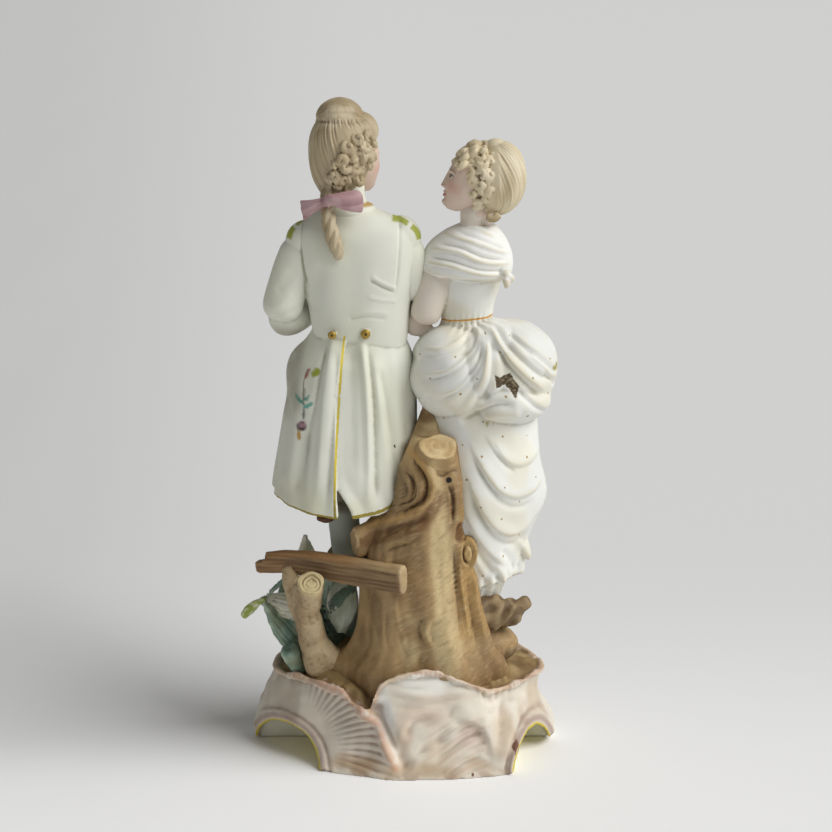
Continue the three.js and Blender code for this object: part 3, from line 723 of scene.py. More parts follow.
def base_relief(points, normals):
    x, y, z = points.T
    # the far side carries the same work, turned about, and plainer
    far = y > 0
    x = np.where(far, -0.95 * x, x)
    turned = np.stack([x, y, z], axis=1)
    facing = np.where((far & (normals[:, 1] > 0.1))[:, None], normals * [1, -1, 1], normals)
    strength = np.where(far, 0.6, 1.0)
    front = smooth(-facing[:, 1] * 3)
    lift = fold(turned, facing, SHELL_ROLL[1:], 2.6, 2.4, taper=0.1)
    lift += fold(turned, facing, [(-12, 38), (-10, 27), (-5, 19), (0, 11), (4, 3)], 3.8, -2.8, taper=0.15)
    ribs, band = shell_ribs(x, z)
    near, gap, _ = path_distance(turned, SHELL_ROLL, 45)
    inside = np.zeros(len(points))
    inside[near] = smooth((gap - 1.0) / 3.0)
    lift += 0.34 * ribs * band * inside * front
    # the curled lips of the arches
    gap = arch_distance(x, z)
    lift += 1.5 * bump(gap, 2.6, 1.6) * (z > 0.5) * front
    lift -= 0.5 * bump(gap, 5.2, 1.2) * front
    # scrolls and water in the middle
    scrolls = [
        ([(-3, 8), (-1, 20), (4, 28), (13, 31), (26, 29)], 4.6, 2.4, 0.6),
        ([(2, 35), (12, 37.5), (24, 36), (38, 30)], 3.6, 1.1, 0.7),
        ([(24, 29), (36, 25), (44, 17), (47, 5)], 4.0, 2.4, 0.6),
        ([(2, 8), (9, 12), (18, 16), (27, 22)], 3.4, -1.6, 0.7),
        ([(6, 13), (14, 19), (22, 23), (30, 24)], 2.4, 0.9, 0.7),
        ([(12, 6), (24, 12), (34, 18), (42, 20)], 3.0, -0.9, 0.8),
        ([(20, 4), (30, 9), (39, 10), (45, 6)], 3.0, 0.9, 0.6),
        ([(64, 34), (57, 24), (53.5, 13), (50, 4)], 3.6, 1.8, 1.0),
        ([(46, 38), (50.5, 30), (49.5, 20), (47, 12)], 3.0, -1.4, 1.0),
        ([(-6, 43), (8, 41), (24, 42), (38, 36)], 3.4, 0.7, 1.0),
        ([(-6, 35), (6, 33), (20, 36), (34, 31)], 3.0, -0.6, 1.0),
        ([(40, 31), (46, 30), (52, 33)], 2.0, 0.6, 1.0),
    ]
    for line, width, height, lean in scrolls:
        lift += fold(turned, facing, line, width, height, lean=lean)
    water = np.sin(z * 1.1 + 2.6 * np.sin(x / 11)) * bump(z, 41, 8) * smooth((x + 8) / 6) * smooth((36 - x) / 8)
    flutes = np.cos(x * 1.9 + 0.2 * z) * bump(z, 42, 7) * smooth((x - 36) / 5) * smooth((60 - x) / 6)
    feathers = np.cos(z * 1.25 - 0.5 * x + 1.8
                      * np.sin(x / 7)) * smooth((x - 18) / 8) * smooth((46 - x) / 6) * smooth((28 - z) / 6)
    lift += (0.16 * water + 0.25 * flutes + 0.26 * feathers) * front
    lift *= strength
    # the trodden ground
    upward = smooth((normals[:, 2] - 0.5) * 3) * (z > 20)
    lift += upward * (0.6 * grain(points, 7, 3) + 0.2 * grain(points, 2.5, 4))
    return lift + 0.15 * grain(points, 4, 5) * (z > 1)


def base_paint(piece):
    points, normals = piece.points, piece.normals
    x, y, z = points.T
    turned_x = np.where(y > 0, -0.95 * x, x)
    paint = colours_of(points, "shell")
    spots = [
        (13, 47, 24, 9, "#eeece4", 0.9), (-8, 30, 6, 15, "#e6e9e6", 0.9), (47, 42, 11, 9, "#e3dbca", 0.8),
        (12, 29, 14, 8, "#d6b498", 0.4), (36, 18, 10, 9, "#cfae9f", 0.35), (20, 38, 18, 3, "#d6c0ae", 0.35),
        (20, 10, 18, 7, "#cfbea2", 0.6), (52, 17, 7, 12, "#c2a57e", 0.45), (66, 26, 9, 16, "#b89f7e", 0.5),
        (-58, 27, 12, 14, "#a8967f", 0.5), (-40, 22, 12, 10, "#d9cebc", 0.5), (-22, 5, 16, 5, "#b2926f", 0.65),
        (8, 4, 44, 4, "#b39873", 0.6), (2, 18, 4, 12, "#b59676", 0.5),
    ]
    for at_x, at_z, wide, tall, colour, share in spots:
        reach = np.hypot((turned_x - at_x) / wide, (z - at_z) / tall)
        paint = spray(paint, colour, share * smooth(1.25 - reach + 0.25 * grain(points, 7, int(abs(at_x) + at_z))))
    ribs, band = shell_ribs(turned_x, z)
    shell_side = smooth((-6 - turned_x) / 8)
    paint = sprayed(paint, [
        ("#98786a", smooth(0.3 - 0.7 * ribs) * band * shell_side * 0.32),
        ("#b3978a", band * shell_side * 0.2 * smooth((z - 4) / 20)),
    ])
    swirl = np.cos(z * 1.25 - 0.5 * turned_x + 1.8 * np.sin(turned_x / 7))
    paint = spray(paint, "#b98f7c", smooth(-0.1 + 0.8 * swirl) * smooth((turned_x - 8) / 9)
                  * smooth((46 - turned_x) / 6) * smooth((29 - z) / 6) * 0.32)
    gap = arch_distance(turned_x, z)
    on_side = smooth((np.abs(normals[:, 1]) - 0.1) * 4) * (np.abs(y) > 5)
    paint = spray(paint, "#957870", (0.7 * bump(gap, 2.8, 1.5) + 0.25 * bump(gap, 5.8, 1.0)) * on_side)
    inner = smooth((0.6 - gap) / 0.5) * (z < 18)
    paint = spray(paint, "#eef0ea", inner)
    near, distance, _ = path_distance(np.stack([turned_x, y, z], axis=1), SHELL_ROLL, 8)
    roll = np.zeros(len(points))
    roll[near] = bump(distance, 0, 2.4)
    paint = sprayed(paint, [
        ("#c79a7b", roll * 0.75 * (np.abs(y) > 18) * smooth(0.9 + 0.5 * grain(points, 2.5, 14))),
        ("#8d6b47", 0.5 * smooth((5 - z) / 5) * (gap > 1) * smooth(0.2 + grain(points, 5, 15))),
    ])
    rim = curve_at(RIM_LINE, np.linspace(0, 1, 161)[:-1], closed=True)
    inland = -outline_gap(np.stack([x, z, y], axis=1), [tuple(spot) for spot in rim[:, :2].tolist()])
    ground = smooth((normals[:, 2] - 0.3) * 4) * (z > 26) * smooth((inland - 0.3 - 0.8 * grain(points, 4, 16)) / 2.2)
    paint = sprayed(paint, [
        ("#937b52", ground),
        ("#b39b6f", ground * smooth(0.3 + 1.1 * grain(points, 6, 13)) * 0.6),
        ("#6f5433", ground * smooth(0.1 + 1.1 * grain(points, 9, 17)) * 0.5),
    ])
    gaps = np.full(len(points), FARTHEST)
    for spot in rim:
        gaps = np.minimum(gaps, np.linalg.norm(points - spot + [0, 0, 1.0], axis=1))
    paint = sprayed(paint, [
        ("#c09a79", smooth((2.4 - gaps) / 1.4) * 0.8),
        ("#e6d6bd", smooth((1.9 - gaps) / 0.8) * smooth(0.2 + grain(points, 5, 19)) * 0.7),
    ])
    piece.note("paint", paint)
    edge = np.where(np.abs(y) > 3, gap - 0.5, AWAY)
    piece.note("arch_edge", np.where(z < 22, edge, AWAY))
    chips = np.minimum(np.hypot((x - 56.8) / 1.5, (z - 12.5) / 2.4), np.hypot((x - 35.5) / 1.1, (z - 1.6) / 0.9))
    piece.note("chip", np.where(y < 0, chips + 0.35 * grain(points, 2, 18), AWAY))


def base_extras(tree, colour, dull):
    line = brushed_line(tree, "arch_edge", 0.5 * chosen("gold_line"))
    colour, dull, metal = gilded(tree, colour, dull, line, tint("gold"), 0.15)
    chip = add(tree, "Attribute", {"attribute_name": "chip"}).outputs["Fac"]
    bare = add(tree, "MapRange", {"From Min": 1.1, "From Max": 0.8}, {"Value": chip}).outputs[0]
    colour = add(tree, "Mix", {"data_type": "RGBA", 7: linear("#6e4a38")}, {0: bare, 6: colour}).outputs[2]
    return colour, dull, metal


def make_base():
    body = wrapped("base", base_skin, 520, 120)
    cut_arches(body)
    piece = Piece("shell_base", [body])
    piece.model(base_relief)
    base_paint(piece)
    # Unglazed bisque, sprayed: matt and powdery, each colour fading out, with brown wiped into the grooves and painted
    # shade in them
    finish = painted_bisque("sprayed_shell_bisque", "#7d6048", grain_mm=0.45, roughness=0.6, speckle=0.09,
                            stain_and_shade_share=0.5, extras=base_extras)
    return piece.finish([finish])


# The stump

def bark(turn, z):
    flare = smooth((92 - z) / 50)
    ridges = mix(0.9, 1.9, flare) * np.cos(7 * turn + z / 26) + 0.8 * np.cos(3 * turn - z / 14)
    return ridges + 0.25 * np.cos(23 * turn + z / 9 + 2 * np.sin(3 * turn)) * mix(0.6, 1.2, flare)


CURLED_EDGE = [(3, 160), (10, 153.5), (14.6, 145), (13.6, 136.5), (6.6, 130), (-5, 125.5), (-18, 120)]


def stump_relief(points, normals):
    x, y, z = points.T
    lift = np.zeros(len(points))
    work = [
        # the curled edges of the bark round the hollow at the left, one inside the other
        (CURLED_EDGE, 2.2, 2.7, 0.5),
        ([(0, 154), (6.6, 148), (9, 141.4), (7, 135), (-1, 131), (-12, 127.5)], 1.5, 1.9, 0.5),
        ([(-1, 147.5), (3, 143.6), (4.4, 139.4), (2, 135.8), (-6, 133)], 1.1, 1.5, 0.6),
        ([(5.4, 155), (12, 147.6), (12.2, 140), (8.2, 133.6), (-3, 128.6)], 1.0, -1.5, 1.0),
        ([(1, 150), (5.4, 145.4), (6.2, 140), (3.6, 135.4)], 0.7, -0.8, 1.0),
        ([(16, 134), (9, 126.4), (-3, 121.6), (-13, 116)], 2.2, -1.8, 1.0),
        ([(13, 127), (4, 120.5), (-5, 116.5), (-14, 111)], 1.7, 1.3, 0.7),
        ([(13, 122), (4, 115), (-5, 111), (-12, 106)], 1.3, -0.9, 1.0),
        ([(8, 113), (0, 108), (-8, 104.5), (-14, 101)], 1.5, 0.7, 0.7),
        # the split below the pin hole, and the lens-shaped scar
        ([(22.5, 144), (25, 138), (25.8, 130), (25, 122)], 1.0, -1.7, 1.0),
        ([(16, 150), (20, 147.5), (25, 150), (29, 149)], 1.2, -0.9, 1.0),
        ([(14, 153), (20, 150.8), (28, 152.5)], 1.2, 0.9, 1.0),
        ([(30, 123.5), (28.8, 118), (28.2, 113.5)], 1.7, -1.8, 1.0),
        # long bark ridges
        ([(29, 152), (29.6, 130), (33, 112)], 1.0, 1.0, 1.0),
        ([(36.0, 98), (37.5, 82), (42, 62)], 1.1, 1.3, 0.8),
        ([(33.5, 98), (34.5, 82), (38, 60)], 1.6, -1.4, 1.0),
        ([(28.5, 108), (29, 96), (31, 82), (34, 62)], 1.0, 1.0, 0.8),
        ([(26.5, 114), (26.5, 100), (28, 84), (30, 62)], 1.2, -0.9, 1.0),
        ([(22, 118), (21, 100), (22, 84), (24, 62)], 2.0, 0.6, 0.7),
        ([(16.5, 61), (12.5, 70), (14.5, 77), (18.5, 82)], 1.8, 1.2, 0.7),
        ([(12, 63), (9, 72), (11, 80)], 1.8, -1.0, 1.0),
        ([(-6, 58), (-8, 76), (-12, 92)], 3.0, -1.0, 1.0),
        ([(-18, 100), (-19, 84), (-20, 66)], 2.0, 0.9, 1.0),
        ([(-2, 98), (-3, 84), (0, 70), (4, 58)], 1.4, 0.6, 0.7),
    ]
    for line, width, height, lean in work:
        lift += fold(points, normals, line, width, height, lean=lean)
        if height > 0:
            lift += fold(points, normals, [(22 - a, b) for a, b in line], width, 0.7 * height, side=1)
    # the rings of the knot at the right
    knot = np.hypot((x - 33) / 3.6, (z - 107.6) / 6.6)
    lift += (0.9 * bump(knot, 1.0, 0.22) - 0.8 * bump(knot, 0.68, 0.2) + 0.3 * bump(knot, 0.38, 0.14)) * (y < -16)
    # a comb drawn across the wet clay
    near_side = smooth(-normals[:, 1] * 3)
    right = bump(x, 24, 7) * smooth((146 - z) / 10) * smooth((z - 62) / 12)
    strokes = np.sin(z * 2.3 - 1.3 * x + 1.0 * np.sin(x / 4.5) + 0.8 * np.sin(z / 7))
    lift += 0.2 * strokes * right * near_side * smooth(0.6 + grain(points, 9, 23))
    flow = np.sin(x * 1.7 + 2 * np.sin(z / 15))
    lift += 0.12 * flow * near_side * smooth((10 - x) / 8) * smooth((120 - z) / 10) * smooth(0.3
                                                                                             + grain(points, 12, 24))
    return lift + 0.25 * grain(points, 4, 21, (1, 1, 2.5)) + 0.06 * grain(points, 1.6, 22, (1, 1, 3))


CUT_FACES = [((18.3, -29, 162), (0.05, -0.75, 0.66), 10.5), ((-25, -28.5, 115), (-0.8, -0.6, 0), 6)]


def stump_paint(piece):
    points, normals = piece.points, piece.normals
    zones = piece.zones()
    x, y, z = points.T
    paint = colours_of(points, "bark")
    paint = spray(paint, "#735739", smooth(0.25 + 0.9 * grain(points, 14, 31, (1, 1, 2.4))) * 0.45)
    lit = bump(x, 18, 15)
    paint = sprayed(paint, [
        ("#c9b589", smooth(0.2 + 1.0 * grain(points, 11, 32, (1, 1, 2.2))) * lit * 0.75),
        ("#cdb98c", smooth((84 - z) / 20) * smooth((x + 6) / 8) * smooth((30 - x) / 8)
         * smooth(0.3 + grain(points, 8, 33)) * 0.6),
        # painted shade: the left side of the stump darkened
        ("#5f452a", smooth(0.0 + 1.1 * grain(points, 7, 34, (1, 1, 2))) * smooth((12 - x) / 16) * 0.4),
        ("#7c5f3b", smooth((60 - z) / 10) * 0.4),
        ("#ad8a52", smooth((x - 26) / 5) * smooth((150 - z) / 20) * smooth((z - 60) / 10) * 0.6),
        ("#7b6747", smooth((152 - z) / 4) * smooth((z - 126) / 6) * smooth((6 - x) / 4) * 0.6),
    ])
    # Painted shade below each curled edge of the bark, broadest under the lowest
    for line, colour, reach, share in (
            ([(-16, 117), (-3, 122.5), (9, 127.5), (14.6, 136)], "#6a4624", 7, 0.65),
            ([(-14, 124), (-1, 128.5), (8, 134), (11, 141)], "#72502c", 2.5, 0.6),
            ([(17, 158), (12, 151), (17, 143)], "#8a6a3e", 3, 0.4)):
        near, distance, _ = path_distance(points, line, reach + 2)
        shade_under_edge = np.zeros(len(points))
        shade_under_edge[near] = smooth((distance + 1) / 1.5) * smooth((reach + 1 - distance) / (0.5 * reach))
        paint = spray(paint, colour, shade_under_edge * share)
    near, distance, _ = path_distance(points, CURLED_EDGE, 5)
    edge = np.zeros(len(points))
    edge[near] = bump(distance, 0, 1.6)
    paint = sprayed(paint, [
        ("#bd9860", edge * 0.75),
        ("#5f3f22", smooth((z - 163) / 7) * smooth(0.8 + grain(points, 3, 36)) * smooth(-normals[:, 2] + 1.0) * 0.75),
    ])
    scar = np.minimum(np.hypot((x - 28.8) / 2.2, (z - 118.5) / 5.4), np.hypot((x - 25.3) / 1.3, (z - 134) / 9))
    paint = spray(paint, "#6a4724", smooth((1.2 - scar) / 0.5) * 0.8 * (y < -16))
    knot = np.hypot((x - 33) / 3.6, (z - 107.6) / 6.6)
    paint = spray(paint, "#c8ac78", bump(knot, 0.45, 0.35) * 0.8 * (y < -16))
    for (cx, cy, cz), facing, reach in CUT_FACES:
        centre = np.array([cx, cy, cz])
        facing = unit(np.array(facing, float))
        off = points - centre
        flat = np.linalg.norm(off - (off @ facing)[:, None] * facing, axis=1)
        share = smooth((normals @ facing - 0.75) * 6) * smooth((reach - flat) / 1.5) * (np.abs(off @ facing) < 4)
        paint = sprayed(paint, [
            ("#d2ba8c", share),
            ("#b89866", share * smooth(0.2 + grain(points, 5, 37)) * 0.6),
        ])
    branch = (zones == zone_number("fallen branch")).astype(float)
    paint = sprayed(paint, [
        ("#8d7a5c", branch * 0.9),
        ("#5e4a33", branch * smooth(0.35 + grain(points, 3, 35)) * 0.75),
        # painted shadow on the ground beneath the fallen branch
        ("#3c2f24", smooth((54 - z) / 4) * smooth((z - 44) / 3) * smooth((x - 42) / 6) * (y > -16) * 0.5),
    ])
    spot = np.hypot(x - 23.4, z - 145.6)
    piece.note("paint", paint)
    piece.note("spot", np.where(y < -10, spot, AWAY))
    piece.note("combed", mix(0.3, 1.0, smooth((x + 8) / 12)) * smooth((150 - z) / 8) * (1 - branch))


def stump_extras(tree, colour, dull):
    """Wiped brush strokes across the bark, light and dark, and the black pinhole."""
    where = add(tree, "TexCoord").outputs["Object"]
    combed_share = add(tree, "Attribute", {"attribute_name": "combed"}).outputs["Fac"]
    for wash, lean, stretch, stroke_mm, most in (("#dccb9f", -24, (4.5, 2, 1), 1.5, 0.22),
                                                 ("#5f452a", -32, (5, 2, 1), 2.2, 0.26)):
        laid = add(tree, "Mapping",
                   {"vector_type": "TEXTURE", "Rotation": (0, math.radians(lean), 0), "Scale": stretch},
                   {"Vector": where}).outputs[0]
        strokes = add(tree, "TexNoise", {"Scale": per_metre(stroke_mm), "Detail": 2.0},
                      {"Vector": laid}).outputs["Fac"]
        share = add(tree, "MapRange",
                    {"interpolation_type": "SMOOTHSTEP", "From Min": 0.5, "From Max": 0.72, "To Max": most},
                    {"Value": strokes}).outputs[0]
        share = add(tree, "Math", {"operation": "MULTIPLY"}, {0: share, 1: combed_share}).outputs[0]
        colour = add(tree, "Mix", {"data_type": "RGBA", 7: linear(wash)}, {0: share, 6: colour}).outputs[2]
    spot = add(tree, "Attribute", {"attribute_name": "spot"}).outputs["Fac"]
    black = add(tree, "MapRange", {"From Min": 1.7, "From Max": 1.3}, {"Value": spot}).outputs[0]
    colour = add(tree, "Mix", {"data_type": "RGBA", 7: linear("#231c18")}, {0: black, 6: colour}).outputs[2]
    return colour, dull, None


def sawn_end(zone, root, face, facing, radii, hollow_mm=0.5):
    """A branch cut off square: a limb from its root that ends in a flat face."""
    root, face = np.asarray(root, float), np.asarray(face, float)
    facing = unit(np.asarray(facing, float))
    across = unit(np.cross(facing, (0, 0, 1)))
    upward = np.cross(across, facing)

    def place(turn, share):
        t = np.minimum(share / 0.8, 1)
        centre = root + (face - root) * t[..., None]
        shrink = 1 - np.clip((share - 0.8) / 0.2, 0, 1)
        rim = 1 - 0.05 * smooth((share - 0.7) / 0.1)
        inner = np.where(share > 0.8, shrink, rim)
        spread = mix(1.15, 1.0, t) * inner
        wobble = 1 + 0.04 * np.sin(3 * turn + 1) + 0.03 * np.sin(5 * turn)
        rings = np.where(share > 0.8, 0.18 * np.cos(shrink * 16) - hollow_mm * (1 - shrink), 0)
        return (centre + facing * rings[..., None]
                + across * (radii[0] * spread * wobble * np.cos(turn))[..., None]
                + upward * (radii[1] * spread * wobble * np.sin(turn))[..., None])

    return wrapped(zone, place, 72, 80)


def make_stump():
    forms = [
        stack("bark", TRUNK, 240, 200, relief=bark),
        limb("bark", [(15, -12, 148), (13.6, -11, 162), (12.4, -10, 177)], [11, 8.6, 2.2]),
        sawn_end("bark", (17, -13, 142), (18.3, -28, 161.8), (0.05, -0.62, 0.78), (9.8, 8.2)),
        sawn_end("bark", (-6, -19, 116), (-23, -24.5, 112), (-0.92, -0.4, -0.05), (6.2, 8.0)),
        limb("bark", [(-17, -21, 112), (-8, -19.5, 117.5), (3, -18, 127)], [7.6, 8.6, 9]),
        ball("bark", (33.2, -27, 107.4), (4.4, 4, 7.4), rings=28),
        limb("bark", [(-5, -22, 62), (-15, -22, 53), (-23, -21, 46)], [11, 9, 5.5]),
        limb("fallen branch", [(26, -14, 68), (42, -11, 70), (54, -9, 70), (60.5, -8, 66)], [9.5, 9, 7, 4.8],
             relief=lambda turn, share: 0.7 * np.cos(5 * turn + 6 * share) + 0.5 * np.cos(9 * share * math.pi + turn)),
        limb("fallen branch", [(55, -9, 70), (60.5, -8, 73), (65.5, -7, 76)], [5.5, 4, 3.6]),
        ball("bark", (40, -4, 52), (20, 16, 11), rings=32),
    ]
    piece = Piece("tree_stump", forms)
    piece.model(stump_relief)
    stump_paint(piece)
    # Stain brushed on and wiped off: matt, dark in the cracks from the stain and from painted shade, pale on the
    # ridges, streaked by the brush
    finish = painted_bisque("wiped_bark_stain", "#4a3019", grain_mm=0.7, roughness=0.62, mottle=0.1, speckle=0.12,
                            stain_and_shade_share=0.85, extras=stump_extras, bump_share=0.4)
    return piece.finish([finish])


# The broken fence

RAIL_PATH = [(-73, -4, 94.8), (-52, -13, 97.8), (-25, -27, 98), (1.5, -42, 97.5)]


def rail_skin(turn, share):
    """A split rail: flat-faced, grooved along its length and torn at its left end."""
    centre = curve_at(RAIL_PATH, share[:, 0])[:, None]
    tangent = unit(np.gradient(centre[:, 0], axis=0))[:, None]
    away = unit(np.cross(tangent, (0, 0, 1)))
    high = mix(5.4, 7.2, smooth(share * 1.4))
    deep = mix(2.8, 4.2, smooth(share * 1.4))
    cosine, sine = np.cos(turn), np.sin(turn)
    up = high * np.sign(cosine) * np.abs(cosine) ** 0.62
    out = deep * np.sign(sine) * np.abs(sine) ** 0.7
    grooves = 0.3 * np.cos(TURN * (up + 1.2 * np.sin(4 * share)) / 2.1) + 0.2 * np.cos(TURN * (up + share * 3) / 1.1)
    out = out + np.sign(out) * grooves * smooth(np.abs(sine) * 1.6)
    torn = smooth((share - 0.1 - 0.02 * np.sin(9 * turn)) / 0.015)
    up = np.where(up > 0, up * mix(0.2, 1.0, torn), up * mix(0.75, 1.0, smooth(share / 0.05)))
    ends = mix(0.65, 1.0, smooth(share / 0.02)) * (1 - 0.14 * smooth((share - 0.985) / 0.015))
    return centre + away * (out * ends)[..., None] + np.array([0, 0, 1.0]) * (up * ends)[..., None]


def fence_relief(points, normals):
    x, y, z = points.T
    lift = 0.15 * grain(points, 3, 41, (2, 2, 1))
    post = bump(x, -49, 10) * (z < 92)
    lift += post * (0.3 * grain(points, 5, 42, (1, 1, 2.2)) + 0.16 * grain(points, 1.6, 43))
    cut = np.array([-44.4, -34, 93.8])
    off = points - cut
    ring = np.linalg.norm(off, axis=1)
    lift += 0.3 * np.cos(ring * 3.6 + 0.8 * np.sin(3 * np.arctan2(off[:, 2], off[:, 0]))) * smooth((6.4 - ring) / 1.2)
    return lift


def fence_paint(piece):
    points, normals, zones = piece.points, piece.normals, piece.zones()
    x, y, z = points.T
    paint = colours_of(points, "rail")
    rail = zones == zone_number("rail")
    paint[~rail] = linear("#b8a27f")
    paint = sprayed(paint, [
        ("#7d6445", ~rail * smooth(0.2 + 0.8 * grain(points, 7, 45, (1, 1, 2))) * 0.5),
        ("#6d5439", ~rail * smooth(-0.2 + 1.1 * grain(points, 1.5, 48)) * 0.4),
        ("#cbb994", ~rail * smooth(0.2 + 1.0 * grain(points, 5, 46)) * 0.6 * smooth((x + 50) / 5)),
    ])
    middle = curve_at(RAIL_PATH, np.clip((x + 73) / 74.5, 0, 1))[:, 2]
    top = smooth((z - middle - 3.4) / 1.4)
    paint = sprayed(paint, [
        ("#6f563c", rail * (1 - top) * smooth(0.5 + grain(points, 1.4, 47, (12, 12, 1))) * 0.6),
        # painted light: the top face of the rail painted lighter, as if lit from above
        ("#ab8256", rail * top * 0.9 * smooth((-x - 12) / 20)),
        ("#b59a72", rail * top * 0.8 * smooth((x + 30) / 20)),
        ("#a07248", rail * smooth((-50 - x) / 16) * 0.35),
        ("#bda781", rail * smooth((x + 2 + 1.5 * grain(points, 3, 49)) / 3) * 0.7),
    ])
    cut = smooth((7.4 - np.linalg.norm(points - np.array([-44.4, -34.5, 93.8]), axis=1)) / 1.2) * ~rail
    paint = sprayed(paint, [
        ("#cbba8c", cut * smooth((-normals[:, 1] - 0.2) * 3) * 0.9),
        # painted light on the sides of the post's tip that face the lamp
        ("#c4b083", ~rail * smooth((z - 88) / 3) * smooth(normals[:, 0] * 2 - 0.4) * (x < -51) * 0.8),
    ])
    piece.note("paint", paint)


def make_fence():
    forms = [
        wrapped("rail", rail_skin, 160, 260),
        limb("post", [(-39, -15, 38), (-43, -18, 54), (-47.4, -21, 72), (-54.5, -18, 88), (-57.6, -15, 96)],
             [8.6, 7.4, 6.8, 4.6, 2.0], 72, 90),
        sawn_end("post", (-48, -21, 76), (-44.4, -33, 93.8), (0.05, -0.78, 0.6), (6.9, 6.3)),
        limb("post", [(-30, -16, 44), (-37, -18, 50), (-43.5, -19.5, 60)], [7, 6.6, 5]),
    ]
    piece = Piece("broken_fence", forms)
    piece.model(fence_relief)
    fence_paint(piece)
    # Dry-brushed stain: matt, with the grain of the wood picked out darker, and painted shade in its hollows
    finish = painted_bisque("brushed_fence_stain", "#4e3620", grain_mm=0.6, roughness=0.62, mottle=0.08,
                            speckle=0.14, stain_and_shade_share=0.75, bump_share=0.45)
    return piece.finish([finish])


# The water plants

def leaf(zone, root, tip, width, lift, side, cup=2.0, thickness=1.5, veins=7):
    """A leaf or petal from root to tip, bowed up by lift, cupped across and veined along."""
    start, end = np.asarray(root, float), np.asarray(tip, float)
    sideways = unit(np.asarray(side, float))
    up = np.cross(unit(end - start), sideways)

    def place(u, v):
        reach = mix(0.02, 0.98, v)
        half = width * 0.5 * np.sin(math.pi * reach**0.8) + 0.5
        ribs = 0.25 * np.cos((u * 2 - 1) * veins * math.pi) * np.sin(math.pi * reach) - 0.5 * bump(u, 0.5, 0.05)
        rise = lift * np.sin(math.pi * reach) + cup * (u * 2 - 1) ** 2 + ribs
        ripple = 0.6 * np.sin(reach * 9 + 2 * u)
        return (start + (end - start) * reach[..., None] + sideways * ((u * 2 - 1) * half)[..., None]
                + up * (rise + ripple)[..., None])

    return sheet(zone, place, 48, 64, thickness)


def make_plants():
    forms = [
        limb("bud", [(-68.5, -6, 76), (-73, -6, 74), (-77, -6.2, 70.4), (-80.6, -6.5, 66.6)], [0.9, 1.9, 2.5, 1.9],
             40, 60, flat=0.7, relief=lambda turn, share: 0.2 * np.cos(9 * turn)),
        leaf("petal", (-49, -5, 68), (-71.5, -6, 75.5), 13, 2, (0.1, 0.15, 1), cup=1.5),
        leaf("leaf", (-50, -3, 95), (-70.8, -6, 75.5), 9, 3, (0.6, 0.2, 0.9), cup=1.5),
        leaf("petal", (-44, 4, 66), (-48.5, 2, 108), 13, 3, (1, 0.2, 0)),
        leaf("leaf", (-47, -8, 46), (-70, -7, 74.5), 13, 2, (0.7, 0.3, 0.8)),
        leaf("olive leaf", (-36, -4, 88), (-31.5, -6, 107), 10, 2, (1, -0.2, 0)),
        leaf("leaf", (-32, -2, 44), (-36, -4, 92), 24, 3, (1, -0.3, 0)),
        leaf("dark leaf", (-39, -9, 66), (-22, -9, 86), 9, -3, (0.5, -0.1, -1)),
        leaf("petal", (-28.5, -5, 86), (-30.5, -12, 60), 14, 3, (1, -0.2, 0), cup=-2.5),
        leaf("leaf", (-46, 12, 44), (-60, 26, 80), 20, 4, (1, 0.6, 0)),
        leaf("leaf", (-38, 14, 46), (-44, 24, 84), 16, 4, (1, 0.3, 0)),
        limb("leaf", [(-50, -12, 38), (-54, -13, 46), (-57.6, -14, 54)], [3.4, 4.6, 5.4], 48, 60),
        ball("dark leaf", (-42, 4, 48), (16, 14, 20), rings=40),
    ]
    piece = Piece("water_plants", forms)

    def relief(points, normals):
        x, y, z = points.T
        spray_of_leaves = np.cos(2.1 * z + 1.3 * x) * np.cos(1.1 * x - 0.6 * z + y * 0.4)
        clump = smooth((16 - np.hypot(x + 42, y - 4)) / 6) * (z < 70)
        cup = np.linalg.norm(points - np.array([-57, -17, 56]), axis=1)
        return 0.7 * clump * spray_of_leaves - 2.4 * bump(cup, 0, 3.0) + 0.12 * grain(points, 2, 51)

    piece.model(relief)
    points, normals, zones = piece.points, piece.normals, piece.zones()
    x, y, z = points.T
    paint = colours_of(points, "leaves")
    paint = sprayed(paint, [
        ("#64877a", smooth(0.4 + grain(points, 6, 52)) * 0.6),
        ("#c3cfba", smooth(0.1 + grain(points, 6, 53)) * 0.6),
        ("#6d6c42", smooth(-0.2 + grain(points, 5, 56)) * 0.5),
    ])
    dark = zones == zone_number("dark leaf")
    paint = spray(paint, "#4c6150", dark * 0.8)
    olive = zones == zone_number("olive leaf")
    paint = spray(paint, "#6e6338", olive * 0.9)
    petal = zones == zone_number("petal")
    paint[petal] = linear("#e4e3d2")
    paint = sprayed(paint, [
        ("#a8ad78", petal * smooth(0.1 + grain(points, 4, 54)) * 0.5),
        ("#8fa394", petal * (x > -36) * 0.5),
    ])
    bud = zones == zone_number("bud")
    paint[bud] = linear("#b9c07a")
    paint = sprayed(paint, [
        ("#8fa23c", bud * smooth(0.4 + grain(points, 2.2, 57, (1, 1, 2))) * 0.9),
        ("#e8e8cf", bud * smooth(0.1 + grain(points, 1.8, 58)) * 0.7),
    ])
    piece.note("paint", paint)
    # A thin green wash on bisque: half matt, pooled along the veins, with painted shade in the hollows
    finish = painted_bisque("leaf_wash", "#3b4a3c", grain_mm=0.6, roughness=0.5, speckle=0.14, stain_and_shade_share=0.9,
                            gloss=0.5)
    return piece.finish([finish])


# Parts that both figures share

def flesh_tint(name):
    # Flesh tint sprayed on smooth bisque: soft and slightly waxy, with a little painted shade in its hollows
    return painted_bisque(name, "#b98f7c", grain_mm=0.3, roughness=0.52, mottle=0.02, speckle=0.03,
                          stain_and_shade_share=0.3, bump_share=0.08, gloss=0.4)


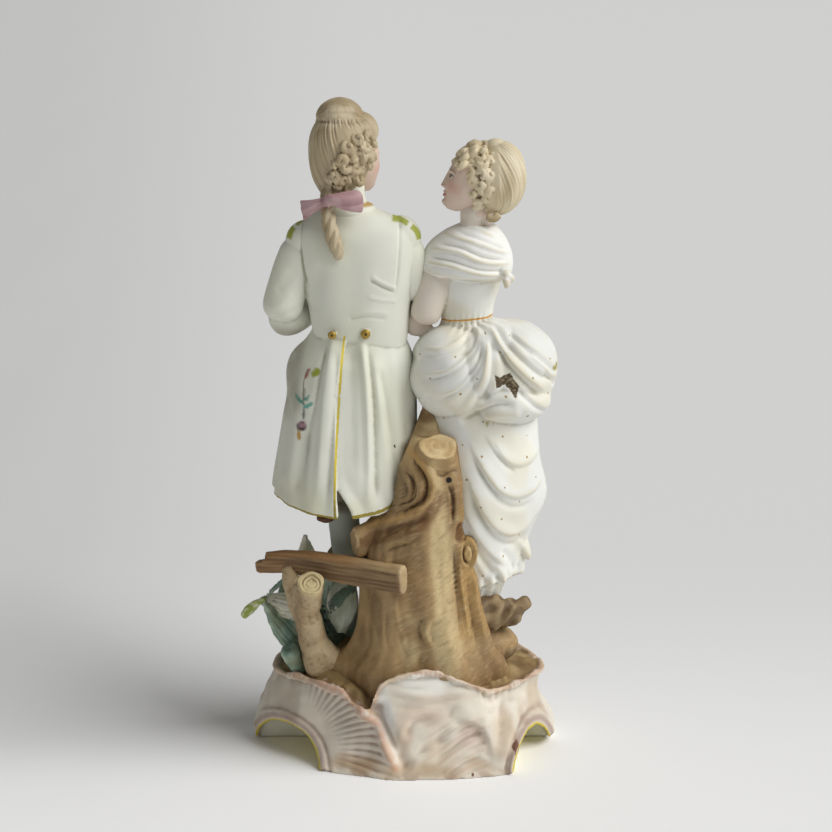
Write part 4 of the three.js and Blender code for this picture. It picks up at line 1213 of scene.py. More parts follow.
HEAD = [
    (-15.0, 5.6, 2.6, 2.6), (-13.0, 4.6, 4.6, 5.6), (-10.0, 3.2, 6.8, 8.0), (-6.0, 1.8, 8.9, 10.0),
    (-2.0, 0.8, 10.1, 11.4), (2.0, 0.2, 10.6, 12.2), (6.0, -0.2, 10.6, 12.0), (10.0, -0.8, 9.6, 10.8),
    (13.5, -1.2, 7.0, 8.0), (15.5, -1.4, 3.0, 3.6),
]


class Face:
    """A head's own frame: to its side, forwards and up from the middle of the face."""

    def __init__(self, centre, facing, up):
        self.centre = np.array(centre, float)
        self.forward = unit(np.array(facing, float))
        up = np.array(up, float)
        self.up = unit(up - (up @ self.forward) * self.forward)
        self.side = np.cross(self.forward, self.up)

    def local(self, points):
        off = points - self.centre
        return off @ self.side, off @ self.forward, off @ self.up

    def world(self, s, f, h):
        return self.centre + s[..., None] * self.side + f[..., None] * self.forward + h[..., None] * self.up

    def features(self, s, h):
        """How far the brow, eyes, nose, lips and chin stand forward."""
        a = np.abs(s)
        down_nose = np.clip((2.8 - h) / 7.4, 0, 1)
        nose = mix(0.4, 2.4, down_nose**1.2) * bump(s, 0, mix(1.15, 1.75, down_nose)) * smooth((3.6 - h) / 1.4)
        nose *= smooth((h + 6.0) / 1.3)
        lift = nose + 0.8 * bump(a, 1.7, 0.8) * bump(h, -4.6, 0.9)
        lift += 0.55 * bump(a, 3.8, 3.0) * bump(h, 3.8, 1.1)
        lift -= 1.15 * bump(a, 4.0, 2.4) * bump(h, 1.5, 1.6)
        lift += 0.85 * bump(a, 4.15, 1.6) * bump(h, 1.0, 1.0)
        lift += 0.22 * bump(a, 4.2, 2.0) * bump(h, 2.15 - 0.1 * (a - 4.2) ** 2, 0.35)
        lift -= 0.18 * bump(a, 4.2, 1.8) * bump(h, 1.55 - 0.1 * (a - 4.2) ** 2, 0.25)
        lift += 0.6 * bump(a, 5.6, 3.0) * bump(h, -3.2, 3.0)
        lift += 0.8 * bump(s, 0, 2.3) * bump(h, -7.3, 0.62) + 0.9 * bump(s, 0, 1.9) * bump(h, -8.95, 0.75)
        lift -= 0.5 * bump(s, 0, 2.9) * bump(h, -8.1, 0.34) + 0.35 * bump(a, 3.2, 0.7) * bump(h, -8.1, 0.7)
        lift -= 0.5 * bump(s, 0, 2.2) * bump(h, -10.4, 0.8)
        return lift + 1.3 * bump(s, 0, 2.8) * bump(h, -12.4, 1.9)

    def form(self, zone):
        def place(turn, share):
            h = mix(-15, 15.5, share) + 0 * turn
            f0, width, depth = rows_at(HEAD, h)
            s = width * np.cos(turn)
            f = f0 + depth * np.sin(turn)
            f = f + self.features(s, h) * smooth(np.sin(turn) * 2.2)
            return self.world(s, f, h)

        return wrapped(zone, place, 240, 200)

    def paint(self, paint, points, share, skin):
        """Fires the flesh tint, the blush and the fine brushwork of the features over a paint layer."""
        s, f, h = self.local(points)
        a = np.abs(s)
        front = smooth((f - 3) / 2) * share
        paint = sprayed(paint, [
            (skin, share),
            ("#cf8f78", front * bump(a, 6.4, 3.4) * bump(h, -3.6, 3.2) * 0.5),
            ("#d8a590", front * (0.35 * bump(h, -12, 2.4) * bump(s, 0, 3) + 0.3 * bump(h, -4, 1.5) * bump(s, 0, 1.5))),
        ])
        eye = np.hypot((a - 4.15) / 1.95, (h - 1.0) / 0.85)
        paint = spray(paint, "#e9e4da", front * smooth((1.05 - eye) / 0.25) * 0.9)
        iris = np.hypot(a - 4.0, h - 1.1)
        paint = spray(paint, "#3b2c22", front * smooth((0.95 - iris) / 0.3))
        arch = 1.05 + 0.95 * np.sqrt(np.clip(1 - ((a - 4.15) / 2.3) ** 2, 0, 1))
        paint = spray(paint, "#4a352a", front * bump(h, arch, 0.3) * smooth((2.3 - np.abs(a - 4.15)) / 0.4))
        brow = 4.2 - 0.10 * (a - 4.4) ** 2
        paint = spray(paint, "#8d6c4c", front * bump(h, brow, 0.38) * smooth((3.0 - np.abs(a - 4.6)) / 0.8) * 0.9)
        upper = np.hypot(s / 2.9, (h + 7.55 + 0.05 * a) / 0.62)
        lower = np.hypot(s / 2.3, (h + 8.85) / 0.75)
        paint = sprayed(paint, [
            ("#bd6f62", front * smooth((1.15 - np.minimum(upper, lower)) / 0.35) * 0.9),
            ("#8e4a42", front * bump(h, -8.12, 0.2) * smooth((3.1 - a) / 0.6) * 0.8),
        ])
        return paint


def hand(zone, wrist, along, back, thumb=1, curl=0.5, size=1.0):
    """A small modelled hand: palm, four fingers and a thumb."""
    wrist = np.asarray(wrist, float)
    along, back = unit(np.asarray(along, float)), unit(np.asarray(back, float))
    side = unit(np.cross(along, back))
    forms = [limb(zone, [wrist - along * 2, wrist + along * 3 * size, wrist + along * 8 * size],
                  [3.0 * size, 3.9 * size, 3.7 * size], flat=0.55, side=side)]
    for i, reach in enumerate((0.86, 1.0, 0.95, 0.78)):
        start = wrist + along * 7 * size + side * (i - 1.5) * 1.9 * size
        knuckle = start + (along * 4 - back * curl * 1.6) * reach * size
        tip = knuckle + (along * 3.4 - back * curl * 4) * reach * size
        forms.append(limb(zone, [start, knuckle, tip], [1.3 * size, 1.25 * size, 0.95 * size], 20, 24))
    root = wrist + along * 2.5 * size + side * thumb * 3.0 * size
    forms.append(limb(zone, [root, root + (along * 3 + side * thumb * 1.6 - back * 0.8) * size,
                             root + (along * 6 + side * thumb * 1.2 - back * 2) * size],
                      [1.6 * size, 1.45 * size, 1.0 * size], 20, 24))
    return forms


def curl(zone, centre, outward, size, turns, start):
    """A ringlet: a strand wound round on itself, standing out from the head."""
    outward = unit(np.asarray(outward, float))
    across = unit(np.cross(outward, (0.3, 0.2, 1)))
    over = np.cross(outward, across)
    path = []
    for t in np.linspace(0, 1, 9):
        angle = start + TURN * turns * t
        reach = size * mix(0.95, 0.2, t)
        path.append(np.asarray(centre, float) + across * reach * math.cos(angle) + over * reach * math.sin(angle)
                    + outward * size * (0.7 * t - 0.25))
    return limb(zone, path, [0.42 * size, 0.68 * size, 0.72 * size, 0.64 * size, 0.44 * size], 16, 36,
                relief=lambda turn, share: 0.05 * size * np.cos(6 * turn + 5 * share))


def combed(angle, height, count, seed):
    """Fine combed strands that run along the height of a form, as a relief from -1 to 1."""
    ways = np.random.default_rng(seed)
    total = 0
    for share in (1.0, 0.63, 1.47, 0.37, 2.1):
        drift = ways.uniform(0.6, 1.8) * np.sin(height / ways.uniform(5, 11) + ways.uniform(0, TURN))
        total = total + ways.uniform(0.5, 1.0) * np.cos(np.round(count * share) * angle + drift + ways.uniform(0, TURN))
    return total / 2.2


def coat_edge(z):
    """The turn round the body of the left tail's edge at the vent."""
    return np.radians(np.interp(z, [128, 135.6, 159, 197], [-4, -6.7, -10.3, -16]))


def coat_hem(share, side):
    """The height of the hem, from the vent at 0 round to the front edge at 1."""
    hem = chosen("coat_hem")
    left = hem + 14 * share**1.3
    right = hem + 4 * np.clip(share / 0.37, 0, 1) ** 1.6 + 15 * smooth((share - 0.34) / 0.18)
    return np.where(side < 0, left, right)


# The gentleman

def coat_tail(side):
    """One tail of the coat, from its back vent round to its front edge."""
    def place(u, v):
        z = mix(COAT_TOP, coat_hem(u, side), v)
        x, y, width, depth = rows_at(COAT_SKIRT, z)
        open_share = smooth((150 - z) / 24)
        edge = coat_edge(z)
        if side > 0:
            edge = edge + math.radians(10.5) * open_share - math.radians(4) * (1 - open_share)
        angle = u * COAT_FRONT_ANGLE
        pleats = np.cos(TURN * angle / math.radians(21)) * (1 - smooth((u - 0.45) / 0.3)) * smooth(v * 1.4)
        sides = np.cos(TURN * angle / math.radians(31) + 1) * smooth((u - 0.4) / 0.2) * smooth(v * 1.2)
        hip = 6 * bump(z, 196, 11) * bump(np.degrees(angle), 96, 26)
        trim = 0.8 * bump(z, 176, 20) * smooth((np.degrees(angle) - 55) / 25)
        out = 0.4 * pleats + 0.5 * sides + ((hip + 1.1) if side < 0 else trim) - 5.0 * smooth((z - 197) / 18)
        turned = edge + side * angle
        return stacked(x + (width + out) * np.sin(turned), y - (depth + out) * np.cos(turned), z)

    return sheet("coat", place, 200, 170, 3, flip=side < 0)


COAT_FOLDS = [
    # the pressed pleats below the left button, the vent and the right button
    ([(-34.2, 212.5), (-38.7, 200.6), (-42.5, 180.2), (-45.8, 166.2), (-49.0, 135.3)], 1.5, -1.2, 0.9),
    ([(-33.4, 213.5), (-35.2, 200), (-37.9, 174.5), (-41.2, 132)], 2.8, 1.7, 0.8),
    ([(-31.0, 208), (-32.0, 189.4), (-34.3, 158.9), (-36.6, 128)], 1.7, -1.0, 1.0),
    ([(-24.6, 213), (-24.0, 195), (-23.6, 175), (-23, 140)], 3.4, -1.0, 1.1),
    ([(-19.6, 214), (-17.6, 196), (-16.5, 174.5), (-15.7, 128)], 2.2, 1.6, 0.8),
    ([(-16.6, 212), (-13.5, 188), (-12.4, 160), (-11.5, 130)], 1.5, -0.9, 1.2),
    ([(-14.5, 206), (-11.5, 190), (-8.3, 166.5), (-5.4, 140)], 2.8, 1.0, 0.8),
    ([(-11, 200), (-8.0, 186), (-3.9, 162), (-1.5, 146)], 2.0, -0.8, 1.2),
    ([(-46, 190), (-50.5, 170), (-53.7, 152), (-57, 136)], 3.4, 0.9, 1.0),
    ([(-46, 170), (-49, 152), (-52.5, 136)], 2.4, -0.8, 1.0),
]
TORSO_FOLDS = [
    ([(-26, 222.4), (-17.5, 223.8), (-6, 222.4)], 0.9, -0.35, 1.2),
    ([(-25, 224), (-15, 226), (-5, 224.6)], 1.1, 0.3, 0.7),
    ([(-15.0, 243.9), (-8.7, 240), (-2.0, 236.8)], 0.8, 0.5, 0.6),
    ([(-15.6, 242.4), (-9.2, 238.6), (-2.4, 235.3)], 0.8, -0.5, 1.3),
    ([(-17, 234), (-9.2, 231.7), (-1.6, 231)], 0.9, 0.35, 0.7),
    ([(-38, 250), (-42, 236), (-42, 224)], 3.4, -0.5, 1.0),
    ([(-0.6, 275), (-0.8, 259), (-1.6, 246), (-3, 234)], 0.6, -0.5, 0.8),
    ([(-47.0, 272), (-48.6, 260), (-47.6, 248), (-45, 236)], 0.6, -0.5, 1.2),
    ([(-64, 226), (-58, 229), (-52, 234)], 1.6, 0.5, 0.7),
    ([(-64, 222), (-57, 223.4), (-50, 227.4)], 1.3, -0.5, 1.2),
    ([(-61, 235), (-56, 240), (-52, 247)], 2.4, -0.5, 1.0),
    ([(-26, 262), (-25, 240), (-25, 218)], 6.0, -0.5, 1.0),
]


def coat_hem_gap(points):
    """Millimetres above the hem of the coat tails at each point's place round the body."""
    x, y, z = points.T
    turned = np.arctan2(x + 28.5, -(y - 2))
    angle = turned - coat_edge(z)
    side = np.sign(angle)
    share = np.clip(np.abs(angle) / COAT_FRONT_ANGLE, 0, 1)
    return z - coat_hem(share, side)


def gentleman_relief(points, normals):
    x, y, z = points.T
    lift = np.zeros(len(points))
    for folds, low, high in ((COAT_FOLDS, 100, 217), (TORSO_FOLDS, 214, 280)):
        inside = (z > low) & (z < high) & (x < 12) & (x > -72)
        for line, width, height, lean in folds:
            lift += inside * fold(points, normals, line, width, height, lean=lean, taper=0.2)
            if abs(height) > 0.6 and low == 100:
                mirrored = [(-52 - a, b) for a, b in line]
                lift += 0.5 * inside * fold(points, normals, mirrored, width * 1.2, height, side=1)
    flank = smooth((-44 - x) / 6) * smooth((214 - z) / 6) * smooth((z - 170) / 12)
    lift += 0.4 * flank * grain(points, 8, 63, (1, 1, 1.6))
    lift += 0.1 * grain(points, 6, 61)
    return lift


def button(zone, centre, radius):
    """A flat cast button with a raised rim."""
    x, y, z = centre
    rim = [(x + radius * 0.78 * math.cos(a), y - 0.35 * radius, z + radius * 0.78 * math.sin(a))
           for a in np.linspace(0, TURN, 13)]
    return [ball(zone, centre, (radius, radius * 0.5, radius), rings=20),
            limb(zone, rim, [radius * 0.2] * 13, 12, 60), ball(zone, (x, y - 0.3 * radius, z), (0.7, 0.8, 0.7),
                                                               rings=12)]


def leg(hip, knee, calf, ankle, toe):
    middle = [(ankle[0] + toe[0]) / 2, (ankle[1] + toe[1]) / 2, 54]
    return [
        limb("breeches", [hip, (np.add(hip, knee) / 2), knee], [12.5, 10.8, 8.8]),
        limb("stocking", [knee, calf, (np.add(calf, ankle) / 2), ankle], [8.0, 7.6, 5.6, 4.6]),
        limb("shoe", [[ankle[0], ankle[1] - 4, 53], middle, toe], [5.0, 5.4, 3.4]),
        ball("gold", middle + np.array([0, 0, 4.8]), (2.4, 2.2, 1.2)),
    ]


def gentleman_forms():
    forms = [
        stack("coat", MAN_TORSO, 180, 190, squareness=2.3),
        coat_tail(-1), coat_tail(1),
        ball("waistcoat", (-16, 10, 196), (13, 9.5, 17), rings=40),
        ball("waistcoat", (-15, 9, 232), (13, 9.5, 28), rings=40),
        ball("jabot", (-16.5, 14, 263), (6, 5, 11), (-10, 0, -15)),
        ball("collar", (-26, 0.5, 273.6), (13.6, 11.8, 4.6), (0, -4, 0), rings=32),
        ball("coat", (-46, -1, 258.6), (10.5, 10, 10.5), rings=32),
        ball("coat", (0.2, -1, 260.6), (9.6, 9.6, 10.5), rings=32),
        ball("coat", (-7, -1, 262), (12, 11, 10), (0, 16, 0), rings=32),
        limb("coat", [(-47.5, 0, 258), (-54.5, -2, 241), (-60, -3, 219)], [9.8, 9.6, 10.2], 64, 80),
        limb("coat", [(-59.5, -1, 219), (-53, 12, 220), (-44, 22.5, 224)], [10.4, 9.6, 8.6], 64, 64),
        limb("coat", [(-47.5, 18.5, 222.5), (-42.5, 24, 224.6)], [9.6, 9.4], 56, 20),
        limb("skin", [(-44, 22, 224.5), (-39, 28, 226.5)], [4, 3.6]),
        *hand("skin", (-40, 27, 226), (0.75, 0.62, 0.12), (0.1, 0.3, 1), thumb=-1),
        limb("coat", [(0.8, -1, 260), (4, 0, 245), (5.5, 3, 229)], [9.2, 8.8, 8.6], 64, 72),
        limb("coat", [(5, 4, 229), (2.5, 18, 229), (-2, 31, 232)], [8.6, 7.8, 7.2], 64, 64),
        limb("coat", [(-0.5, 27, 231), (-3, 33, 232.6)], [8.2, 8.0], 56, 20),
        *hand("skin", (-3.5, 36, 233), (-0.55, 0.8, 0.15), (-0.1, 0.2, 1), thumb=1),
        *button("button", (-33.6, -17.2, 214.8), chosen("button_radius")),
        *button("button", (-17.2, -17.8, 215.4), chosen("button_radius")),
        *leg([-29, 4, 190], [-30, 4, 126], [-28, 0, 104], [-28, 2, 58], [-31, 25, 51]),
        *leg([-13, 5, 190], [-9, 11, 126], [-7, 9, 104], [-6, 11, 58], [-2, 33, 51]),
        limb("bow", [(-42.5, -3, 118.6), (-38, -5, 117.4), (-35, -5.5, 119)], [1.9, 1.5, 1.9]),
    ]
    forms += [ball("gold", (-15.6 + 0.25 * i, 19 - 0.25 * i * (i < 4), 250 - 9 * i), (1.3, 1.1, 1.3), rings=12)
              for i in range(6)]
    return forms


# The touches of a painted sprig: colour, place across and along it, half sizes, turn and strength
SPRIG = [
    ("#4f5648", 0.02, 0.02, 0.026, 0.62, 0.06, 0.8), ("#3f8f7e", -0.12, 0.12, 0.05, 0.16, 0.9, 0.9),
    ("#58a697", 0.16, 0.0, 0.06, 0.16, -1.0, 0.9), ("#3f8f7e", 0.12, 0.2, 0.04, 0.1, -0.5, 0.85),
    ("#73505c", 0.0, -0.62, 0.15, 0.13, 0.2, 0.9), ("#b08a92", 0.03, -0.6, 0.1, 0.05, 0.3, 0.7),
    ("#3e2a2e", -0.02, -0.72, 0.11, 0.05, 0.0, 0.85), ("#b5872a", -0.06, -0.9, 0.06, 0.13, 0.1, 0.9),
    ("#8a3d2c", 0.08, 0.88, 0.05, 0.17, -0.35, 0.85),
]


def sprig(paint, points, at, size, tilt, side=-1):
    """Brushes a small flower with a stem and leaves at a place in X and Z, on one side of the group."""
    x, z = points[:, 0] - at[0], points[:, 2] - at[1]
    near = (side * points[:, 1] > -6).astype(float)
    cosine, sine = math.cos(tilt), math.sin(tilt)
    along, across = z * cosine + x * sine, x * cosine - z * sine
    for colour, u, v, wide, tall, turn, strength in SPRIG:
        c, s = math.cos(turn), math.sin(turn)
        du, dv = across - u * size, along - v * size
        share = np.hypot((du * c + dv * s) / (wide * size), (dv * c - du * s) / (tall * size))
        paint = spray(paint, colour, near * smooth((1.15 - share) / 0.25) * strength)
    return paint


def gentleman_paint(piece):
    points, normals, zones = piece.points, piece.normals, piece.zones()
    x, y, z = points.T
    here = {zone: (zones == zone_number(zone)).astype(float) for zone in ZONES}
    paint = colours_of(points, "coat")
    paint = sprayed(paint, [
        ("#dbdbc2", smooth(0.35 + 0.8 * grain(points, 24, 62)) * 0.35),
        ("#d6d2b0", smooth((152 - z) / 22) * smooth(0.3 + grain(points, 16, 64)) * 0.35),
    ])
    flank = smooth((-44 - x) / 8) * smooth((218 - z) / 6) * smooth((z - 166) / 14)
    shade = smooth(0.75 + 0.35 * grain(points, 8, 65)) * smooth(-normals[:, 1] * 2 + 0.6)
    paint = spray(paint, "#7d7260", flank * shade * 0.5)
    for zone, colour in (("skin", "#dcc6b6"), ("stocking", "#a8afa4"), ("breeches", "#b5b6a6"), ("shoe", "#5d4a3c"),
                         ("waistcoat", "#e7d9cf"), ("jabot", "#efeee8"), ("bow", "#6b4c3a"),
                         ("gold", "#b8973a"), ("button", "#a58a3c")):
        if zone in here:
            paint = spray(paint, colour, here[zone])
    # Painted shade on the breeches and stockings seen through the vent, under the coat tails
    shade_in_vent = smooth((153 - z) / 5) * smooth((z - 119) / 4) * bump(x, -30, 6)
    paint = spray(paint, "#6f5f4b", shade_in_vent * np.maximum(here["stocking"], here["breeches"]) * 0.8)
    collar = smooth((z - 275.5) / 1.2) * smooth((x + 26) / 4)
    paint = spray(paint, "#b08a3c", collar * here["collar"] * 0.9)
    shoulders = [([(-4.4, 270.6), (0.4, 269.6), (3.4, 268)], 1.5), ([(5.2, 266.8), (7.8, 263.8), (8.9, 260)], 1.5),
                 ([(-54.6, 260.4), (-53.5, 264), (-52.2, 266.2)], 1.6),
                 ([(-51.2, 267.4), (-49.8, 268.6), (-48, 269.8)], 1.5)]
    for line, width in shoulders:
        near, distance, place = path_distance(points, line, 5)
        dash = np.zeros(len(points))
        dash[near] = smooth((width - np.abs(distance)) / 0.6) * (place > 0.02) * (place < 0.98)
        paint = spray(paint, "#9fa63c", dash * (y < 3) * here["coat"] * 0.95)
    bare = paint
    paint = sprig(paint, points, (-48.2, 180.5), 17, 0.06)
    leafy = np.hypot((x + 41.7) * 0.8 + (z - 196.3) * 0.6, ((z - 196.3) * 0.8 - (x + 41.7) * 0.6) / 0.62) / 2.6
    paint = spray(paint, "#9aa53a", smooth((1.15 - leafy) / 0.25) * (y < 0))
    paint = sprig(paint, points, (-34, 170), 24, -0.15, side=1)
    paint = sprig(paint, points, (4, 172), 24, 0.2, side=1)
    paint = sprig(paint, points, (-14, 205), 16, 0.1, side=1)
    embroidered = here["coat"] + here.get("waistcoat", 0) > 0
    paint = np.where(embroidered[:, None], paint, bare)
    piece.note("paint", paint)
    gap = coat_hem_gap(points)
    skirt = (here["coat"] > 0) & (z < 217)
    edge = np.where(skirt, 0.75 * np.abs(gap - 0.75), AWAY)
    near, distance, _ = path_distance(points, [(-27.6, 214), (-29.3, 196.9), (-31.7, 158.9), (-32.4, 135.6),
                                               (-32.2, 126.5)], 3)
    vent = np.full(len(points), AWAY)
    vent[near] = np.where(points[near, 1] < -14, np.abs(distance), AWAY)
    vent = np.where(skirt, vent, AWAY)
    piece.note("edge", np.minimum(vent * 1.1, edge))
    gilt = np.maximum(here.get("gold", 0), here.get("button", 0))
    piece.note("gilt", gilt)
    holes = np.hypot(x + 2.9, z - 159.9)
    eyes = np.minimum(np.hypot(x + 33.6, z - 214.8) / 0.7, np.hypot(x + 17.2, z - 215.4) / 0.7)
    piece.note("pin", np.where(y < -10, np.minimum(holes / 0.9, eyes), AWAY))


def coat_extras(tree, colour, dull):
    line = brushed_line(tree, "edge", 0.5 * chosen("gold_line"), wear=0.3)
    low = add(tree, "SeparateXYZ", None, {0: add(tree, "TexCoord").outputs["Object"]}).outputs["Z"]
    worn = add(tree, "MapRange", {"From Min": 0.145, "From Max": 0.132}, {"Value": low}).outputs[0]
    gold = add(tree, "Mix", {"data_type": "RGBA", 6: tint("gold"), 7: linear("#988734")}, {0: worn}).outputs[2]
    gilt = add(tree, "Attribute", {"attribute_name": "gilt"}).outputs["Fac"]
    colour = add(tree, "Mix", {"data_type": "RGBA"}, {0: line, 6: colour, 7: gold}).outputs[2]
    colour, dull, metal = gilded(tree, colour, dull, gilt, linear("#a88c40"), 0.4)
    pin = add(tree, "Attribute", {"attribute_name": "pin"}).outputs["Fac"]
    dark = add(tree, "MapRange", {"From Min": 1.15, "From Max": 0.85}, {"Value": pin}).outputs[0]
    colour = add(tree, "Mix", {"data_type": "RGBA", 7: linear("#4a3b1c")}, {0: dark, 6: colour}).outputs[2]
    return colour, dull, metal


def make_gentleman():
    piece = Piece("gentleman", gentleman_forms())
    piece.model(gentleman_relief)
    gentleman_paint(piece)
    # Polished white bisque: a broad soft sheen and no mirror, with gold brushed on by hand and painted shade in the
    # folds
    cloth = painted_bisque("satin_bisque_coat", "#77714c", grain_mm=0.35, roughness=0.58, mottle=0.02, speckle=0.02,
                           stain_and_shade_share=0.6, extras=coat_extras, bump_share=0.1)
    return piece.finish([cloth])


MAN_FACE = Face((-22.3, 5.5, 296.8), (math.sin(math.radians(50)), math.cos(math.radians(50)), 0.03), (0.03, -0.02, 1))


def scatter_curls(zone, spots, size, seed):
    """Ringlets at the given places, each with its way out from the head."""
    ways = random.Random(seed)
    return [curl(zone, place, outward, size * ways.uniform(0.75, 1.2), ways.choice((-0.85, 0.85, 1.1)),
                 ways.uniform(0, TURN)) for place, outward in spots]


def man_curls():
    """Side curls that cover the wig below the temple and thin out towards the queue."""
    ways = random.Random(7)
    spots = []
    for height, start, end in ((311, -56, -8), (306, -74, 0), (301, -86, -2), (296, -94, -20), (291, -100, -40),
                               (286, -106, -60)):
        count = max(2, round((end - start) / 20))
        for i in range(count + 1):
            angle = math.radians(mix(start, end, i / count) + ways.uniform(-5, 5))
            z = height + ways.uniform(-1.5, 1.5)
            x, y, wide, deep = rows_at(WIG, np.array(float(z)))
            out = ways.uniform(-0.4, 1.0)
            spots.append(((x + (wide + out) * math.cos(angle), y + (deep + out) * math.sin(angle), z),
                          (math.cos(angle) + ways.uniform(-0.4, 0.4), math.sin(angle), ways.uniform(-0.3, 0.5))))
    return spots


def wing(zone, inner_top, inner_low, outer_top, outer_low, folds, seed):
    """One wing of a ribbon bow, from the knot to its spread end."""
    a, b, c, d = (np.array(p, float) for p in (inner_top, inner_low, outer_top, outer_low))
    face = unit(np.cross(c - a, b - a))
    if face[1] > 0:
        face = -face

    def place(u, v):
        top = a + (c - a) * u[..., None]
        low = b + (d - b) * u[..., None]
        puffed = 2.2 * np.sin(math.pi * v) * np.sin(math.pi * np.clip(u * 0.9 + 0.1, 0, 1)) ** 0.6
        waves = 0.9 * np.cos(v * folds * math.pi + seed + 1.5 * u) * (1 - 0.35 * u) * smooth(u * 6)
        crease = -1.5 * bump(v, 0.52 + 0.1 * u, 0.09) * smooth((0.75 - u) / 0.4)
        return top + (low - top) * v[..., None] + face * (puffed + waves + crease)[..., None]

    return sheet(zone, lambda u, v: place(u + 0 * v, v + 0 * u), 70, 70, 2.2)


def plait(zone, path, radius, spread, turns, strands=3):
    """Strands twisted round one another along a path."""
    spine = curve_at(path, np.linspace(0, 1, 25))
    tangent = unit(np.gradient(spine, axis=0))
    away = unit(np.cross(tangent, (1, 0, 0)))
    across = np.cross(away, tangent)
    share = np.linspace(0, 1, 25)
    forms = []
    for k in range(strands):
        turn = (TURN * (turns * share + k / strands))[:, None]
        line = spine + spread * (np.cos(turn) * across + 0.7 * np.sin(turn)
                                 * away) * mix(1.0, 0.35, smooth(share * 2 - 1))[:, None]
        forms.append(limb(zone, line, [radius * 0.8, radius, radius * 1.05, radius * 0.95, radius * 0.6], 28, 110,
                          relief=lambda turn, along: 0.12 * np.cos(7 * turn + 5 * along)))
    return forms


def make_gentleman_head():
    forms = [
        MAN_FACE.form("skin"),
        stack("hair", WIG, 200, 160),
        ball("hair", (-29.7, 2.5, 318), (11.5, 13.5, 9.9), (0, -3, 0), rings=48),
        ball("hair", (-20.6, 2, 312), (9.6, 12, 9.4), (0, 20, 0), rings=40),
        limb("skin", [(-27, 1, 272), (-25.5, 2, 286)], [8, 7.6]),
        *plait("hair", [(-35.4, -12, 279), (-34.8, -16.2, 271), (-32.8, -18.6, 263.4), (-30.8, -19, 257),
                        (-29.8, -18.4, 252.6)],
               2.1, 1.7, 1.6),
        limb("hair", [(-34, -8, 284), (-35.2, -14, 279)], [5.2, 4.0]),
        ball("ribbon", (-35.2, -17, 280.6), (2.7, 2.8, 2.9), rings=24),
        wing("ribbon", (-35, -16.5, 282.6), (-35, -17, 278.6), (-48.8, -14.5, 279.6), (-47.2, -15.6, 271.2), 3, 0.5),
        wing("ribbon", (-35, -16.5, 282.6), (-35, -17, 278.6), (-20.4, -14.5, 284.6), (-19.0, -15.8, 275.2), 3, 2.0),
        *scatter_curls("hair", man_curls(), chosen("curl_size"), 11),
    ]
    piece = Piece("gentleman_head", forms)
    zones = piece.zones()
    hair_only = zones == zone_number("hair")

    def relief(points, normals):
        x, y, z = points.T
        angle = np.arctan2(y, x + 28.5)
        roll = smooth((z - 318.4) / 1.0) * smooth((-16 - x) / 4)
        strands = combed(angle + 0.02 * (z - 300), z, 30, 71) * (1 - roll)
        over = np.arctan2(z - 316, y - 2)
        strands += combed(over, x * 1.2, 13, 72) * roll
        plain = smooth((angle_gap(angle, math.radians(-50), math.radians(44))) * 8)
        above_curls = np.maximum(plain, smooth((z - 314) / 3)) * smooth((z - 281) / 4)
        line_under = -0.5 * bump(z, 317.2 + 0.006 * (x + 30) ** 2, 0.9) * smooth((-15 - x) / 4)
        return hair_only * (0.34 * strands * above_curls + line_under * smooth((10 - y) / 4))

    piece.model(relief)
    points, normals, zones = piece.points, piece.normals, piece.zones()
    x, y, z = points.T
    paint = colours_of(points, "his_wig")
    paint = sprayed(paint, [
        ("#94805c", smooth(0.35 + grain(points, 9, 73, (1, 1, 2))) * 0.5),
        ("#d6caae", smooth(0.15 + grain(points, 7, 74, (1, 1, 2))) * 0.5),
        ("#85704e", smooth((292 - z) / 10) * smooth((z - 276) / 4) * 0.5),
    ])
    strands = combed(np.arctan2(y, x + 28.5) + 0.02 * (z - 300), z, 46, 76)
    paint = spray(paint, "#7d6845", smooth(-0.1 - 0.9 * strands) * 0.4 * (z > 284))
    skin = (zones == zone_number("skin")).astype(float)
    paint = MAN_FACE.paint(paint, points, skin, "#d8bfae")
    ribbon = zones == zone_number("ribbon")
    paint[ribbon] = tint("ribbon")
    paint = spray(paint, "#c5a8a9", ribbon * smooth(0.3 + grain(points, 4, 75)) * 0.5)
    piece.note("paint", paint)
    # A brown wash wiped off the combed locks: matt, darker between the strands from the wash and from painted shade
    finish = painted_bisque("brushed_wig_wash", "#5f4a2c", grain_mm=0.5, roughness=0.6, mottle=0.05, speckle=0.07,
                            stain_and_shade_share=0.9, bump_share=0.3)
    skin_finish = flesh_tint("flesh_tinted_bisque")
    # Fired rose enamel: a dull shine, with painted shade darkening the folds
    ribbon_finish = painted_bisque("rose_ribbon_enamel", "#6d4550", grain_mm=0.4, roughness=0.5, mottle=0.04,
                                   speckle=0.05, stain_and_shade_share=0.85, bump_share=0.15, gloss=0.4)
    index = np.select([skin > 0, ribbon], [1, 2], 0)
    return piece.finish([finish, skin_finish, ribbon_finish], index)


def angle_gap(angle, centre, half):
    """Radians by which an angle lies outside a sector."""
    away = np.abs((angle - centre + math.pi) % TURN - math.pi)
    return away - half


# The lady

FICHU = [
    (238, 30.5, 2.5, 19.5, 14.5), (242, 31.5, 2.5, 22.5, 17.5), (250, 32.5, 2.5, 22.5, 17.5),
    (258, 33.5, 3, 19, 15.5), (263, 35, 3, 14, 12.5), (266, 37, 3, 9.5, 9),
]


def fichu_skin(turn, share):
    low = 241.6 - 2.4 * np.cos(turn)
    z = mix(low, 266, share)
    x, y, width, depth = rows_at(FICHU, z)
    tuck = 1.5 * smooth(share / 0.05) - 1.5
    return stacked(x + (width + tuck) * np.cos(turn), y + (depth + tuck) * np.sin(turn), z)


